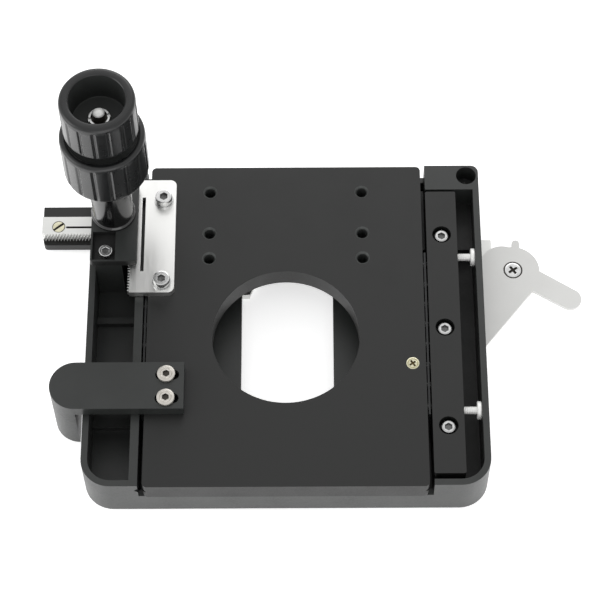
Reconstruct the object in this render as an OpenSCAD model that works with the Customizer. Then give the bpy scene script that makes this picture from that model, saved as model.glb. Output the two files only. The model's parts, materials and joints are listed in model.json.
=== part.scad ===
// Mechanical microscope stage, drawn as it lies on a table: specimen face down, knobs up.
// Millimetres. Origin: axis of the round light hole, on the outer face of the mount plate.
// X runs along the specimen slide, Y is the fore-and-aft travel, +Z leaves the mount plate.

/* [Mount plate] */
// Width of the mount plate between its ball ways
plate_w = 85.5; // [80:0.5:92]
// Length of the mount plate ahead of the light hole's axis
plate_front = 50.3; // [46:0.1:54]
// Length of the mount plate behind the light hole's axis
plate_back = 60.7; // [58:0.1:64]
// Thickness of the mount plate
plate_t = 7.3; // [6.5:0.1:8]
// Diameter of the round light hole
light_hole_d = 45.4; // [36:0.2:50]
// Distance across the tapped hole pairs
hole_span = 48; // [44:0.5:54]
// Distance from the light hole's axis to the nearest tapped pair
hole_first = 27.5; // [26.5:0.1:29]
// Distance from the nearest tapped pair to the middle one
hole_step_near = 9; // [7:0.5:11]
// Distance from the middle tapped pair to the far one
hole_step_far = 15; // [12:0.5:18]
// Core diameter of the tapped holes
tapped_d = 3.3; // [2.5:0.1:4.2]
// Width of the countersink at a tapped hole's mouth
tapped_mouth_d = 4.5; // [4.3:0.1:5.5]

/* [Ball ways] */
// Gap between the mount plate's edge and the way beside it
way_gap = 1.4; // [1.3:0.1:1.9]
// Diameter of a way ball
ball_d = 2.6; // [2.4:0.1:3]
// Number of balls in one way
ball_count = 8; // [4:1:10]
// Distance from ball to ball
ball_pitch = 7; // [5:0.5:7.5]
// Thickness of the ball cage strip
cage_t = 0.6; // [0.4:0.1:0.8]
// Height of the ball cage strip
cage_h = 4.2; // [3.6:0.1:5]

/* [Carriage] */
// Width of the carriage casting
carriage_w = 122.6; // [120:0.2:128]
// Length of the carriage ahead of the light hole's axis
carriage_front = 49.8; // [48:0.1:54]
// Length of the carriage behind the light hole's axis
carriage_back = 61.3; // [60.5:0.1:66]
// Depth from the mount plate's face to the specimen face
carriage_depth = 17.5; // [17:0.1:19]
// Distance from the mount plate's face down to the carriage rim
rim_drop = 0.3; // [0.2:0.05:0.6]
// Thickness of the carriage's outer wall
wall_t = 2; // [1.6:0.1:2.6]
// Radius of the two front corners
front_corner_r = 9; // [7:0.5:14]
// Radius of the two back corners
back_corner_r = 2.4; // [1:0.1:4]
// Thickness of the floor under the side pockets
pocket_floor_t = 3; // [2.5:0.1:3.6]
// Thickness of the deck under the mount plate
deck_t = 4; // [3.2:0.1:4.6]
// Running gap between the mount plate and the carriage below it
plate_clear = 0.4; // [0.3:0.1:0.8]
// Thickness of the ridge that holds the left ball way
ridge_t = 2.6; // [2.3:0.1:3.2]
// Length of the two back corner blocks
corner_block_l = 8.9; // [8:0.1:10]
// Width of the light aperture
aperture_w = 28.8; // [24:0.2:33]
// Front end of the light aperture, ahead of the axis
aperture_front = 28; // [24:0.5:34]
// Back end of the light aperture, behind the axis
aperture_back = 34; // [29:0.5:35]
// Corner radius of the light aperture
aperture_r = 12; // [6:0.5:13]

/* [Gib rail] */
// Width of the gib rail
rail_w = 9.6; // [9:0.1:10]
// Front end of the gib rail, ahead of the axis
rail_front = 46; // [45:0.1:47.4]
// Back end of the gib rail, behind the axis
rail_back = 51.6; // [48:0.1:52]
// Depth of the gib rail
rail_h = 8.6; // [8:0.1:9.2]
// Diameter of the gib rail's counterbores
rail_counterbore_d = 5.9; // [5.6:0.1:6.4]

/* [Rack and pinion] */
// Distance from tooth to tooth on both racks
tooth_pitch = 0.98; // [0.94:0.01:1.02]
// Play between a tooth and the gap that it runs in
tooth_play = 0.16; // [0.1:0.02:0.2]
// Number of teeth on the fore-and-aft pinion
y_teeth = 32; // [31:1:33]
// Number of teeth on the sideways pinion
x_teeth = 20; // [19:1:21]
// Distance from the left wall's inner face to the knob axis
drive_inset = 5.5; // [5.2:0.1:5.7]
// Knob axis, behind the light hole's axis
drive_y = 40.4; // [40:0.1:40.6]
// Thickness of the fore-and-aft rack plate
y_rack_t = 2.5; // [2.2:0.1:2.7]
// Front end of the fore-and-aft rack, behind the axis
y_rack_front = 14.1; // [13.5:0.1:16]
// Back end of the fore-and-aft rack, behind the axis
y_rack_back = 54.6; // [52:0.1:56]
// Width of the fore-and-aft rack plate that lies on the mount plate
y_rack_lap = 8.15; // [7.5:0.05:8.6]
// Width of the slit that springs the toothed edge of the fore-and-aft rack
slit_w = 1; // [0.6:0.1:1.2]

/* [Index bracket] */
// Width of the index bracket
index_w = 15.6; // [14:0.1:17]
// Thickness of the index bracket
index_t = 4; // [3.4:0.1:4.4]
// Middle of the index bracket, ahead of the axis
index_y = 18.6; // [18:0.1:20]
// Far left end of the index bracket, left of the axis
index_left = 71.4; // [71:0.1:74]
// Right end of the index bracket, left of the axis
index_right = 30.7; // [30:0.1:31.2]
// Depth of the index bracket's half-round end below the mount plate's face
index_depth = 19.6; // [17:0.1:20]

/* [Knobs] */
// Top of the upper knob above the mount plate's face
knob_top = 70.5; // [66:0.5:78]
// Diameter of the upper knob, which moves the slide sideways
x_knob_d = 22; // [20:0.5:22.5]
// Height of the upper knob
x_knob_h = 14.4; // [13:0.1:16]
// Diameter of the cup in the upper knob
x_cup_d = 16.8; // [15:0.1:17]
// Depth of the cup in the upper knob
x_cup_depth = 10.9; // [10:0.1:11]
// Diameter of the lower knob, which moves the carriage
y_knob_d = 25.4; // [24.5:0.1:27]
// Gap between the two knobs
knob_gap = 3.9; // [3.4:0.1:4.6]
// Height of the lower knob
y_knob_h = 18.4; // [17:0.1:18.8]
// Diameter of the recess in the lower knob's top
y_recess_d = 23; // [22.6:0.1:23.2]
// Number of grip grooves around each knob
grip_count = 16; // [12:1:20]
// Width of a grip groove
grip_w = 1.7; // [1.2:0.1:2]
// Outer diameter of the column sleeve
column_d = 12.6; // [11.6:0.1:13]
// Diameter of the inner drive shaft
shaft_d = 5; // [4.6:0.1:5.4]
// Outer diameter of the outer drive tube
tube_d = 8.4; // [8:0.1:8.8]
// Radial play of every shaft in its bore
running_play = 0.05; // [0.03:0.01:0.09]

/* [Knob bracket] */
// Height of the knob bracket's top above the mount plate's face
bracket_top = 6.5; // [6.2:0.1:7]
// Thickness of the knob bracket's top plate
bracket_t = 2.6; // [2.2:0.1:3]
// Reach of the knob bracket ahead of the knob axis
bracket_ahead = 17.5; // [16.5:0.1:18]
// Reach of the knob bracket behind the knob axis
bracket_behind = 11.3; // [11.1:0.1:11.9]
// Reach of the knob bracket to the right of the knob axis
bracket_reach = 7.6; // [6.8:0.1:8]

/* [Slide bar and holder] */
// Left end of the slide bar, left of the axis
bar_left = 78.2; // [76:0.2:80]
// Right end of the slide bar, right of the axis
bar_right = 59.5; // [56:0.5:61]
// Width of the toothed strip on the slide bar
strip_w = 6.9; // [6.5:0.1:7.2]
// Depth of the toothed strip
strip_t = 3.6; // [3.4:0.1:3.9]
// Length of the toothed strip
strip_l = 88; // [82:1:96]
// Width of the rib behind the toothed strip
back_rib_w = 3.6; // [3.2:0.1:3.8]
// Reach of the ledge in front of the teeth
ledge_w = 1.6; // [1.4:0.1:1.8]
// Thickness of the ledge
ledge_t = 3; // [2.7:0.1:3.1]
// Top of the toothed strip below the mount plate's face
strip_top = 12.5; // [12.3:0.1:12.7]
// Thickness of the holder plate
holder_t = 1.5; // [1.2:0.1:2]
// Front edge of the holder plate, behind the axis
holder_front = 34; // [32:0.1:35]
// Right edge of the fixed jaw, left of the axis
jaw_right = 11.6; // [10:0.1:14]
// Front end of the fixed jaw, behind the axis
jaw_front = 24; // [20:0.1:26]
// Thickness of the clamp finger
finger_t = 1.2; // [1:0.1:1.3]
// Pivot of the clamp finger, right of the axis
pivot_x = 72.6; // [71:0.1:74]
// Pivot of the clamp finger, behind the axis
pivot_y = 32.7; // [32:0.1:33.5]

/* [Hidden] */
$fn = 64;

// Overlap that lets a cut or a joined solid pass its neighbour's face
cut = 0.5;
// Gap between pieces that move past each other
move_gap = 0.3;
// Gap between a screw and its hole, and between a seat and the piece in it
seat_gap = 0.02;
// Radial room round a screw in a plain hole
hole_room = 0.15;
// How far a countersunk head lies below the face round it
head_sink = 0.05;
// Room between a screw's tip and the floor of its hole
tip_room = 0.4;

// Screws: shanks, heads and their recesses
screw_d = 3;
small_screw_d = 2;
hex_d = 2.3;
cross_depth = 0.7;
cap_head_d = 5.3;
cap_head_h = 2.6;
low_head_d = 5.7;
low_head_h = 1.1;
slim_head_d = 4.3;
slim_head_h = 2.6;
bracket_head_h = 1.8;
plate_screw_floor = 0.8;
cross_head_h = 1;

black = "#1b1c1d";
gloss_black = "#0f1011";
steel = "#c9ccce";
bright_steel = "#e2e4e5";
brass = "#c9b681";

// Mount plate and its ways
half_plate = plate_w / 2;
plate_corner_r = 1.5;
plate_edge_z = -plate_t / 2;
way_face = half_plate + way_gap;
way_centre = half_plate + way_gap / 2;
way_apex = ball_d / 2 * sqrt(2);
ball_play = 0.03;
cage_margin = 3.5;
cage_hole_d = ball_d + 2 * running_play;
cage_l = (ball_count - 1) * ball_pitch + 2 * cage_margin;
cage_mid = 2;
tapped_rows = [hole_first, hole_first + hole_step_near, hole_first + hole_step_near + hole_step_far];

// Carriage
half_carriage = carriage_w / 2;
rim_z = -rim_drop;
face_z = -carriage_depth;
pocket_z = face_z + pocket_floor_t;
deck_z = face_z + deck_t;
slideway_z = -plate_t - plate_clear;
inner_wall_x = half_carriage - wall_t;
ridge_left = way_face + ridge_t;
rail_right = way_face + rail_w;
rail_z = rim_z - rail_h;
block_front = carriage_back - corner_block_l;
inner_corner_r = front_corner_r - wall_t;
aperture_x = 0.35;
back_screw = [57.4, 57.5];
back_screw_d = 3.4;
back_counterbore_d = 6.3;
back_counterbore_h = 7;
pocket_back_r = 0.5;
rib_w = 2.2;
rib_h = 2.5;
rib_rows = [12, -23.9];
stop_x = 38.7;
stop_y = -9.5;
stop_head_d = 4;
stop_seat_d = stop_head_d + 0.2;
stop_pin_d = 2.4;
stop_reach = 3.2;
stop_side_room = 0.5;
stop_pad = 5;
travel_back = 10.5;
travel_front = 25.5;
index_end_gap = 2.3;
index_end_x = -half_carriage - index_end_gap;
index_screw_in = 5.4;
index_screw_step = 7.9;
index_screw_ahead = 0.4;
index_slot_w = screw_d + 2 * hole_room;
index_slot_left = 1.65;
index_slot_right = 2.25;
index_screw_places = [for (side = [1, -1])
    [-index_right - index_screw_in, -index_y - index_screw_ahead + side * index_screw_step / 2]];

// Gib rail and its screws
rail_corner_r = 0.6;
rail_wall_gap = 0.15;
rail_seat_depth = 3.4;
rail_screw_depth = 4.6;
rail_screw_in = 15.7;
rail_screw_mid = 3;
rail_screw_x = way_face + rail_w / 2;
rail_screw_places = [for (y = [rail_back - rail_screw_in, rail_screw_mid, -rail_front + rail_screw_in])
    [rail_screw_x, y]];
jack_back = 29.5;
jack_front = -23.8;
jack_rows = [jack_back, jack_front];
jack_drop = 3.4;
jack_z = rim_z - jack_drop;
jack_d = 2.4;
jack_head_d = 5.6;
jack_head_t = 1.4;
jack_grip = 2.8;
jack_hole = 3;

// Fore-and-aft rack: its tooth row, its slit and its screws
drive_x = inner_wall_x - drive_inset;
pressure_angle = 20;
module_size = tooth_pitch / PI;
tooth_h = 2.25 * module_size;
rack_edge = drive_x - y_teeth * module_size / 2;
y_rack_inner = half_plate - y_rack_lap;
rack_chamfer = 3.2;
rack_corner_r = 2;
rack_slit_in = 4.1;
rack_slit_front = 7.5;
rack_slit_back = 6.4;
rack_screw_in = 3.8;
rack_screw_front = 3.4;
rack_screw_back = 7.7;
y_rack_screw_places = [[-y_rack_inner - rack_screw_in, y_rack_back - rack_screw_back],
                       [-y_rack_inner - rack_screw_in, y_rack_front + rack_screw_front]];
washer_d = 6;
washer_t = 0.5;

// Sideways bar, which lies in a channel of the carriage
strip_face = drive_y + x_teeth * module_size / 2 - module_size;
strip_z = -strip_top;
ledge_z = strip_z - strip_t;
bar_z = ledge_z - ledge_t;
ledge_front = strip_face - ledge_w;
rib_front = strip_face + strip_w;
bar_back = rib_front + back_rib_w;
channel_front = ledge_front - move_gap;
channel_back = bar_back + move_gap;
channel_z = strip_z + move_gap;
bridge_t = 2.7;
bridge_wall = 1.2;
bridge_behind = 3.3;
bridge_z = channel_z + bridge_t;
bridge_back = channel_back + bridge_behind;
rod_d = 2;
rod_in = 0.25;
rod_drop = 2.4;
rod_end = 1;
rod_y = channel_back + rod_in;
rod_z = strip_z - rod_drop;
rod_l = 2 * (inner_wall_x - rod_end);
bar_front_r = 1.3;
bar_back_r = 0.6;
strip_end_gap = 0.2;
strip_over = 0.3;
strip_slit_w = 0.7;
strip_slit_in = 3;
strip_slit_first = 7.4;
strip_slit_last = 8;
strip_head_d = 3.9;
strip_head_h = 1.1;
strip_screw_first = 5;
strip_screw_in = 3.2;
strip_screw_last = 5;
strip_screw_step = 25;
strip_screw_behind = 4.9;
strip_slot_w = 0.6;
x_rack_screw_places = [[-bar_left + strip_screw_first, strip_face + strip_screw_in],
                       [-bar_left + strip_l - strip_screw_last, strip_face + strip_screw_behind],
                       [-bar_left + strip_l - strip_screw_last - strip_screw_step,
                           strip_face + strip_screw_behind]];

// Drive
x_pinion_tip = x_teeth * module_size / 2 + module_size;
y_pinion_tip = y_teeth * module_size / 2 + module_size;
x_pinion_bore_d = 2 * x_pinion_tip + 2 * move_gap;
x_pinion_z0 = ledge_z + move_gap;
x_pinion_z1 = channel_z - move_gap - 2 * running_play;
y_pinion_z0 = -move_gap;
y_pinion_z1 = y_rack_t + move_gap;
cavity_z0 = y_pinion_z0 - 2 * running_play;
cavity_z1 = y_pinion_z1 + 2 * running_play;
bridge_front = drive_y - x_pinion_bore_d / 2 - bridge_wall;
bracket_inset = 0.7;
bracket_body_in = 2.9;
bracket_lip = 0.6;
bracket_corner_r = 0.8;
bracket_rim = 0.6;
recess_over = 0.9;
recess_depth = 2;
bracket_front = drive_y - bracket_ahead;
bracket_back = drive_y + bracket_behind;
bracket_right = drive_x - bracket_reach;
bracket_under = bracket_top - bracket_t;
bracket_left = half_carriage - bracket_inset;
bracket_body_left = inner_wall_x - 2 * running_play;
bracket_body_right = drive_x - bracket_body_in;
recess_z = bracket_top - recess_depth;
bracket_screw_out = 2.1;
bracket_screw_floor = 1.2;
bar_room = 0.3;
bracket_screw_front = 4;
back_screw_out = 3;
back_screw_back = 3.1;
back_screw_hole_d = 5.4;
bracket_screw_places = [[-drive_x - bracket_screw_out, bracket_front + bracket_screw_front],
                        [-drive_x - back_screw_out, bracket_back - back_screw_back]];
column_bore = tube_d / 2 + running_play;
column_foot_h = 1.1;
column_foot_w = 0.4;
column_foot_d = column_d + 2 * column_foot_w;
spigot_wall = 1.3;
spigot_d = tube_d + 2 * spigot_wall;
x_knob_z = knob_top - x_knob_h;
y_knob_z = x_knob_z - knob_gap - y_knob_h;
column_top = y_knob_z - move_gap;
y_recess_depth = 2;
y_recess_z = y_knob_z + y_knob_h - y_recess_depth;
tube_sink = 0.2;
tube_top = y_recess_z - tube_sink;
x_knob_floor = knob_top - x_cup_depth;
cup_chamfer = 0.8;
knob_lip_h = 1.3;
knob_lip_in = 0.25;
knob_lip_r = 0.8;
nut_h = 1.5;
nut_d = 6.6;
nut_slot_w = 1.1;
nut_slot_depth = 0.7;
tip_d = 3.6;
tip_h = 4.4;
tip_z = x_knob_floor + tip_h;
grub_rise = 4;
grub_d = 2.5;
grub_l = 4.5;
grub_hex_d = 1.3;
grub_hex_depth = 1.1;

// Holder and finger
holder_z1 = bar_z;
holder_z0 = bar_z - holder_t;
holder_in = 2.4;
holder_back = bar_back - holder_in;
holder_step = 6.6;
holder_right = bar_right + holder_step;
holder_tab = 9;
holder_notch_y = bar_back - holder_tab;
holder_end_in = 1;
ear_root = 12;
ear_d = 15;
jaw_w = 10.5;
pad_w = 3;
pad_reach = 2.2;
pad_over = 2;
pad_step_x = 1.3;
pad_step_y = 3.2;
pad_rise = 4.3;
holder_head_d = 3.8;
holder_head_h = 0.9;
holder_screw_l = 1.4;
holder_slot_w = 0.5;
holder_slot_depth = 0.45;
holder_screw_left = 2.4;
holder_screw_right = 6.5;
holder_screw_ends = [-jaw_right - holder_screw_left, bar_right - holder_screw_right];
holder_screw_places = [for (x = [holder_screw_ends[0], (holder_screw_ends[0] + holder_screw_ends[1]) / 2,
                                 holder_screw_ends[1]]) [x, rib_front - strip_w / 2]];
finger_z1 = face_z - move_gap;
finger_z0 = finger_z1 - finger_t;
pivot_d = 3.2;
pivot_head_d = 6;
pivot_stem_d = 2.5;
pivot_cross = 3.6;
spring_r = 3.4;
spring_wire_d = 0.6;
spring_room = 0.9;
spring_groove_depth = 0.8;
spring_drop = 0.42;

// Outline of the clamp finger, from its pivot
disc_r = 8.5;
lobe = [-3.2, 1.6];
lobe_r = 7.2;
lobe_in = 0.3;
arm_turn = -32;
arm_root_w = 7.6;
arm_tip = [17.7, -10.6];
arm_tip_r = 3.6;
claw_root = [6.7, -6.7];
claw_tip = [-13.2, -26.8];
claw_tip_r = 3;
claw_side = [0.77, -0.64];
claw_top = [0, 7.5];
hollow = [-38.5, -7.5];
nib = [1.25, 9.75];
nib_w = 2.5;

// ---------- shared shapes ----------

// Box between two corners
module box(low, high) {
    translate(low) cube(high - low);
}

// Plate with one radius at its front corners and one at its back corners
module corner_plate(low, high, front_r, back_r) {
    box([low.x, low.y + front_r, low.z], [high.x, high.y - back_r, high.z]);
    box([low.x + front_r, low.y, low.z], [high.x - front_r, low.y + front_r + cut, high.z]);
    box([low.x + back_r, high.y - back_r - cut, low.z], [high.x - back_r, high.y, high.z]);
    for (side = [0, 1]) {
        front_x = side == 0 ? low.x + front_r : high.x - front_r;
        back_x = side == 0 ? low.x + back_r : high.x - back_r;
        translate([front_x, low.y + front_r, low.z]) cylinder(r = front_r, h = high.z - low.z);
        translate([back_x, high.y - back_r, low.z]) cylinder(r = back_r, h = high.z - low.z);
    }
}

// Upright cylinder at [x, y] from z0 to z1
module post(at, d, z0, z1) {
    translate([at.x, at.y, z0]) cylinder(d = d, h = z1 - z0);
}

// Cone frustum at [x, y] from z0 to z1
module cone(at, d0, d1, z0, z1) {
    translate([at.x, at.y, z0]) cylinder(d1 = d0, d2 = d1, h = z1 - z0);
}

// V groove along Y: its apex lies depth inside the face at x, on the side that into points to
module v_groove(x, into, depth, y0, y1, z) {
    translate([x, y1, z]) rotate([90, 0, 0])
        linear_extrude(y1 - y0) polygon([[-into * cut, depth + cut], [-into * cut, -depth - cut],
                                         [into * depth, 0]]);
}

// Cap screw: its head stands on seat_z and its shank goes down, and the socket has six sides
module cap_screw(at, head_d, head_h, shank_d, seat_z, tip_z, socket_d) {
    difference() {
        union() {
            post(at, head_d, seat_z, seat_z + head_h);
            post(at, shank_d, tip_z, seat_z + cut);
        }
        translate([at.x, at.y, seat_z + head_h * 0.4]) cylinder(d = socket_d, h = head_h, $fn = 6);
    }
}

// Countersunk screw whose flat head ends at top_z, with a cross recess
module flat_screw(at, head_d, shank_d, top_z, tip_z) {
    head_h = (head_d - shank_d) / 2;
    difference() {
        union() {
            cone(at, shank_d, head_d, top_z - head_h, top_z);
            post(at, shank_d, tip_z, top_z - head_h / 2);
        }
        cross_recess(at, head_d * 0.6, top_z, cross_depth);
    }
}

// Cross recess cut down from top_z
module cross_recess(at, span, top_z, depth) {
    blade = span * 0.24;
    for (turn = [0, 90])
        translate([at.x, at.y, top_z - depth]) rotate(turn + 20)
            translate([-span / 2, -blade / 2, 0]) cube([span, blade, depth + cut]);
}

// Outline of one involute flank, as angles in degrees at a list of radii
function involute_angle(base_r, r) = r <= base_r ? 0 :
    tan(acos(base_r / r)) * 180 / PI - acos(base_r / r);

// Outline of a pinion whose gap is centred on the +X direction
function pinion_points(teeth, thin) = let (
        pitch_r = teeth * module_size / 2,
        base_r = pitch_r * cos(pressure_angle),
        root_r = pitch_r - 1.2 * module_size,
        tip_r = pitch_r + module_size,
        half_tooth = 90 / teeth - thin / 2 / pitch_r * 180 / PI,
        at_pitch = involute_angle(base_r, pitch_r),
        radii = [root_r, max(root_r, base_r), (pitch_r + base_r) / 2, pitch_r, (pitch_r + tip_r) / 2, tip_r]
    ) [for (tooth = [0 : teeth - 1]) let (middle = (tooth + 0.5) * 360 / teeth)
        each concat(
            [for (r = radii) let (a = middle - half_tooth - at_pitch + involute_angle(base_r, r))
                r * [cos(a), sin(a)]],
            [for (i = [5 : -1 : 0]) let (r = radii[i],
                a = middle + half_tooth + at_pitch - involute_angle(base_r, r)) r * [cos(a), sin(a)]])];

module pinion(teeth, thin, height) {
    linear_extrude(height) polygon(pinion_points(teeth, thin));
}

// Points of a row of rack teeth along +X, tips at y = 0 and roots behind, one tooth centred on x = 0
function rack_points(first, last, thin) = let (
        flank = module_size * tan(pressure_angle),
        half_tip = tooth_pitch / 4 - flank - thin / 2,
        half_root = tooth_pitch / 4 + flank * 1.25 - thin / 2,
        root = tooth_h
    ) [for (tooth = [first : last])
        each [[tooth * tooth_pitch - half_root, root], [tooth * tooth_pitch - half_tip, 0],
              [tooth * tooth_pitch + half_tip, 0], [tooth * tooth_pitch + half_root, root]]];

// ---------- fixed pieces: mount plate and what is screwed to it ----------

module mount_plate() {
    color(black) difference() {
        corner_plate([-half_plate, -plate_front, -plate_t], [half_plate, plate_back, 0],
                     plate_corner_r, plate_corner_r);
        post([0, 0], light_hole_d, -plate_t - cut, cut);
        for (side = [-1, 1], row = tapped_rows) {
            post([side * hole_span / 2, row], tapped_d, -plate_t - cut, cut);
            cone([side * hole_span / 2, row], tapped_d, tapped_mouth_d + 2 * cut,
                 -(tapped_mouth_d - tapped_d) / 2, cut);
        }
        for (side = [-1, 1])
            v_groove(side * half_plate, -side, way_apex - way_gap / 2,
                     -plate_front - cut, plate_back + cut, plate_edge_z);
        for (at = y_rack_screw_places) post(at, screw_d + 2 * seat_gap, -plate_t - cut, cut);
        for (at = index_screw_places) post(at, screw_d + 2 * seat_gap, -plate_t - cut, cut);
        post([stop_x, stop_y], stop_pin_d + 2 * seat_gap, -plate_t - cut, cut);
        cone([stop_x, stop_y], stop_pin_d, stop_seat_d + 2 * cut, -(stop_seat_d - stop_pin_d) / 2, cut);
    }
}

module stop_screw() {
    color(brass) flat_screw([stop_x, stop_y], stop_head_d, stop_pin_d, -head_sink, -plate_t - stop_reach);
}

// Plate with a toothed left edge and a slit that lets the teeth spring
module y_rack() {
    slit_x = -rack_edge + rack_slit_in;
    first = ceil((y_rack_front - drive_y) / tooth_pitch + 0.5);
    last = floor((y_rack_back - drive_y - rack_chamfer) / tooth_pitch - 0.5);
    edge = -rack_edge - module_size;
    teeth = [for (p = rack_points(first, last, tooth_play / 2)) [edge + p.y, drive_y + p.x]];
    color(steel) difference() {
        linear_extrude(y_rack_t) polygon(concat(
            [[-y_rack_inner, y_rack_back], [-y_rack_inner, y_rack_front], [edge + tooth_h, y_rack_front]],
            teeth, [[edge + tooth_h, y_rack_back - rack_chamfer],
                [edge + tooth_h + rack_chamfer, y_rack_back]]));
        box([slit_x - slit_w / 2, y_rack_front + rack_slit_front, -cut],
            [slit_x + slit_w / 2, y_rack_back - rack_slit_back, y_rack_t + cut]);
        for (at = y_rack_screw_places) post(at, screw_d + 2 * hole_room, -cut, y_rack_t + cut);
        for (y = [y_rack_front, y_rack_back]) inner_corner_cut(y, y == y_rack_front ? 1 : -1);
    }
}

// Rounds one of the rack plate's two right corners
module inner_corner_cut(y, up) {
    r = rack_corner_r;
    difference() {
        box([-y_rack_inner - r, min(y, y + up * r) - (up > 0 ? cut : 0), -cut],
            [-y_rack_inner + cut, max(y, y + up * r) + (up < 0 ? cut : 0), y_rack_t + cut]);
        post([-y_rack_inner - r, y + up * r], 2 * r, -2 * cut, y_rack_t + 2 * cut);
    }
}

module y_rack_washers() {
    color(bright_steel) for (at = y_rack_screw_places) difference() {
        post(at, washer_d, y_rack_t, y_rack_t + washer_t);
        post(at, screw_d + 2 * hole_room, y_rack_t - cut, y_rack_t + washer_t + cut);
    }
}

module y_rack_screws() {
    color(bright_steel) for (at = y_rack_screw_places)
        cap_screw(at, cap_head_d, cap_head_h, screw_d, y_rack_t + washer_t,
            -plate_t + plate_screw_floor, hex_d);
}

// Arm across the carriage wall, ending in a deep half-round block outside the wall
module index_bracket() {
    half = index_w / 2;
    round_x = -index_left + half;
    color(black) difference() {
        union() {
            box([round_x, -index_y - half, 0], [-index_right, -index_y + half, index_t]);
            post([round_x, -index_y], index_w, 0, index_t);
            difference() {
                post([round_x, -index_y], index_w, -index_depth, cut);
                box([index_end_x, -index_y - index_w, -index_depth - cut],
                    [0, -index_y + index_w, 2 * cut]);
            }
        }
        for (at = index_screw_places) {
            post([at.x - index_slot_left, at.y], index_slot_w, -cut, index_t + cut);
            post([at.x + index_slot_right, at.y], index_slot_w, -cut, index_t + cut);
            box([at.x - index_slot_left, at.y - index_slot_w / 2, -cut],
                [at.x + index_slot_right, at.y + index_slot_w / 2, index_t + cut]);
        }
    }
}

module index_screws() {
    color(bright_steel) for (at = index_screw_places)
        cap_screw(at, low_head_d, low_head_h, screw_d, index_t, -plate_t + plate_screw_floor, hex_d);
}

// ---------- ball ways ----------

module ball_cage(side) {
    color(steel) difference() {
        box([side * way_centre - cage_t / 2, cage_mid - cage_l / 2, plate_edge_z - cage_h / 2],
            [side * way_centre + cage_t / 2, cage_mid + cage_l / 2, plate_edge_z + cage_h / 2]);
        for (ball = [0 : ball_count - 1]) translate([side * way_centre, ball_y(ball), plate_edge_z])
            rotate([0, 90, 0]) cylinder(d = cage_hole_d, h = 2 * cage_t, center = true);
    }
}

function ball_y(ball) = cage_mid + (ball - (ball_count - 1) / 2) * ball_pitch;

module way_balls(side) {
    color(bright_steel) for (ball = [0 : ball_count - 1])
        translate([side * way_centre, ball_y(ball), plate_edge_z]) sphere(d = ball_d - 2 * ball_play);
}

module left_ball_cage() { ball_cage(-1); }
module right_ball_cage() { ball_cage(1); }
module left_way_balls() { way_balls(-1); }
module right_way_balls() { way_balls(1); }

// ---------- carriage ----------

module carriage() {
    color(black) difference() {
        union() {
            carriage_shell();
            carriage_inside();
        }
        box([-way_face, -carriage_front - cut, slideway_z], [way_face, carriage_back + cut, cut]);
        v_groove(-way_face, -1, way_apex - way_gap / 2, -carriage_front - cut, carriage_back + cut,
            plate_edge_z);
        corner_plate([aperture_x - aperture_w / 2, -aperture_front, face_z - cut],
            [aperture_x + aperture_w / 2, aperture_back, deck_z + cut],
                     aperture_r, aperture_r);
        slide_channel();
        for (side = [-1, 1]) {
            post([side * back_screw.x, back_screw.y], back_screw_d, face_z - cut, cut);
            post([side * back_screw.x, back_screw.y], back_counterbore_d, rim_z - back_counterbore_h, cut);
        }
        for (at = rail_screw_places) post(at, screw_d + 2 * seat_gap,
            rail_z - rail_screw_depth - tip_room, rail_z + cut);
        post([-drive_x, drive_y], x_pinion_bore_d, face_z - cut, channel_z);
        post([-drive_x, drive_y], shaft_d + 2 * running_play, face_z - cut, 0);
        for (at = bracket_screw_places) post(at, screw_d + 2 * seat_gap,
            face_z + bracket_screw_floor - seat_gap, bridge_z + cut);
        stop_slot();
    }
}

// Outer walls, corner blocks and floor
module carriage_shell() {
    difference() {
        corner_plate([-half_carriage, -carriage_front, face_z], [half_carriage, carriage_back, rim_z],
                     front_corner_r, back_corner_r);
        corner_plate([-inner_wall_x, -carriage_front + wall_t, pocket_z],
            [inner_wall_x, carriage_back - wall_t, cut],
                     inner_corner_r, pocket_back_r);
    }
}

// Ridge, rail bed, deck, bridge, ribs and corner blocks between the walls
module carriage_inside() {
    front = -carriage_front + wall_t / 2;
    back = carriage_back - wall_t / 2;
    box([-ridge_left, front, face_z], [-way_face, back, rim_z]);
    box([way_face, front, face_z], [rail_right, block_front + cut, rail_z]);
    box([-way_face - cut, front, face_z], [way_face + cut, back, deck_z]);
    box([-inner_wall_x - cut, bridge_front, face_z], [inner_wall_x + cut, bridge_back, bridge_z]);
    for (row = rib_rows)
        box([-inner_wall_x - cut, row - rib_w / 2, face_z],
            [-ridge_left + cut, row + rib_w / 2, pocket_z + rib_h]);
    for (side = [-1, 1]) {
        inner = side < 0 ? -inner_wall_x - cut : way_face;
        outer = side < 0 ? -way_face : inner_wall_x + cut;
        box([inner, block_front, face_z], [outer, back, rim_z]);
    }
    box([stop_x - stop_pad, stop_y - travel_back - stop_pad, face_z],
        [way_face, stop_y + travel_front + stop_pad, slideway_z - running_play]);
}

// Channel that the slide bar runs in, with a groove for its way rod
module slide_channel() {
    box([-half_carriage - cut, channel_front, face_z - cut],
        [half_carriage + cut, channel_back, channel_z]);
    translate([-rod_l / 2 - seat_gap, rod_y, rod_z]) rotate([0, 90, 0])
        cylinder(d = rod_d + 2 * seat_gap, h = rod_l + 2 * seat_gap);
}

// Slot for the end of the stop screw, which sets the fore-and-aft travel
module stop_slot() {
    w = stop_pin_d + 2 * stop_side_room;
    z0 = slideway_z - stop_reach - tip_room;
    y0 = stop_y - travel_back;
    y1 = stop_y + travel_front;
    box([stop_x - w / 2, y0, z0], [stop_x + w / 2, y1, cut]);
    for (y = [y0, y1]) post([stop_x, y], w, z0, cut);
}

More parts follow.
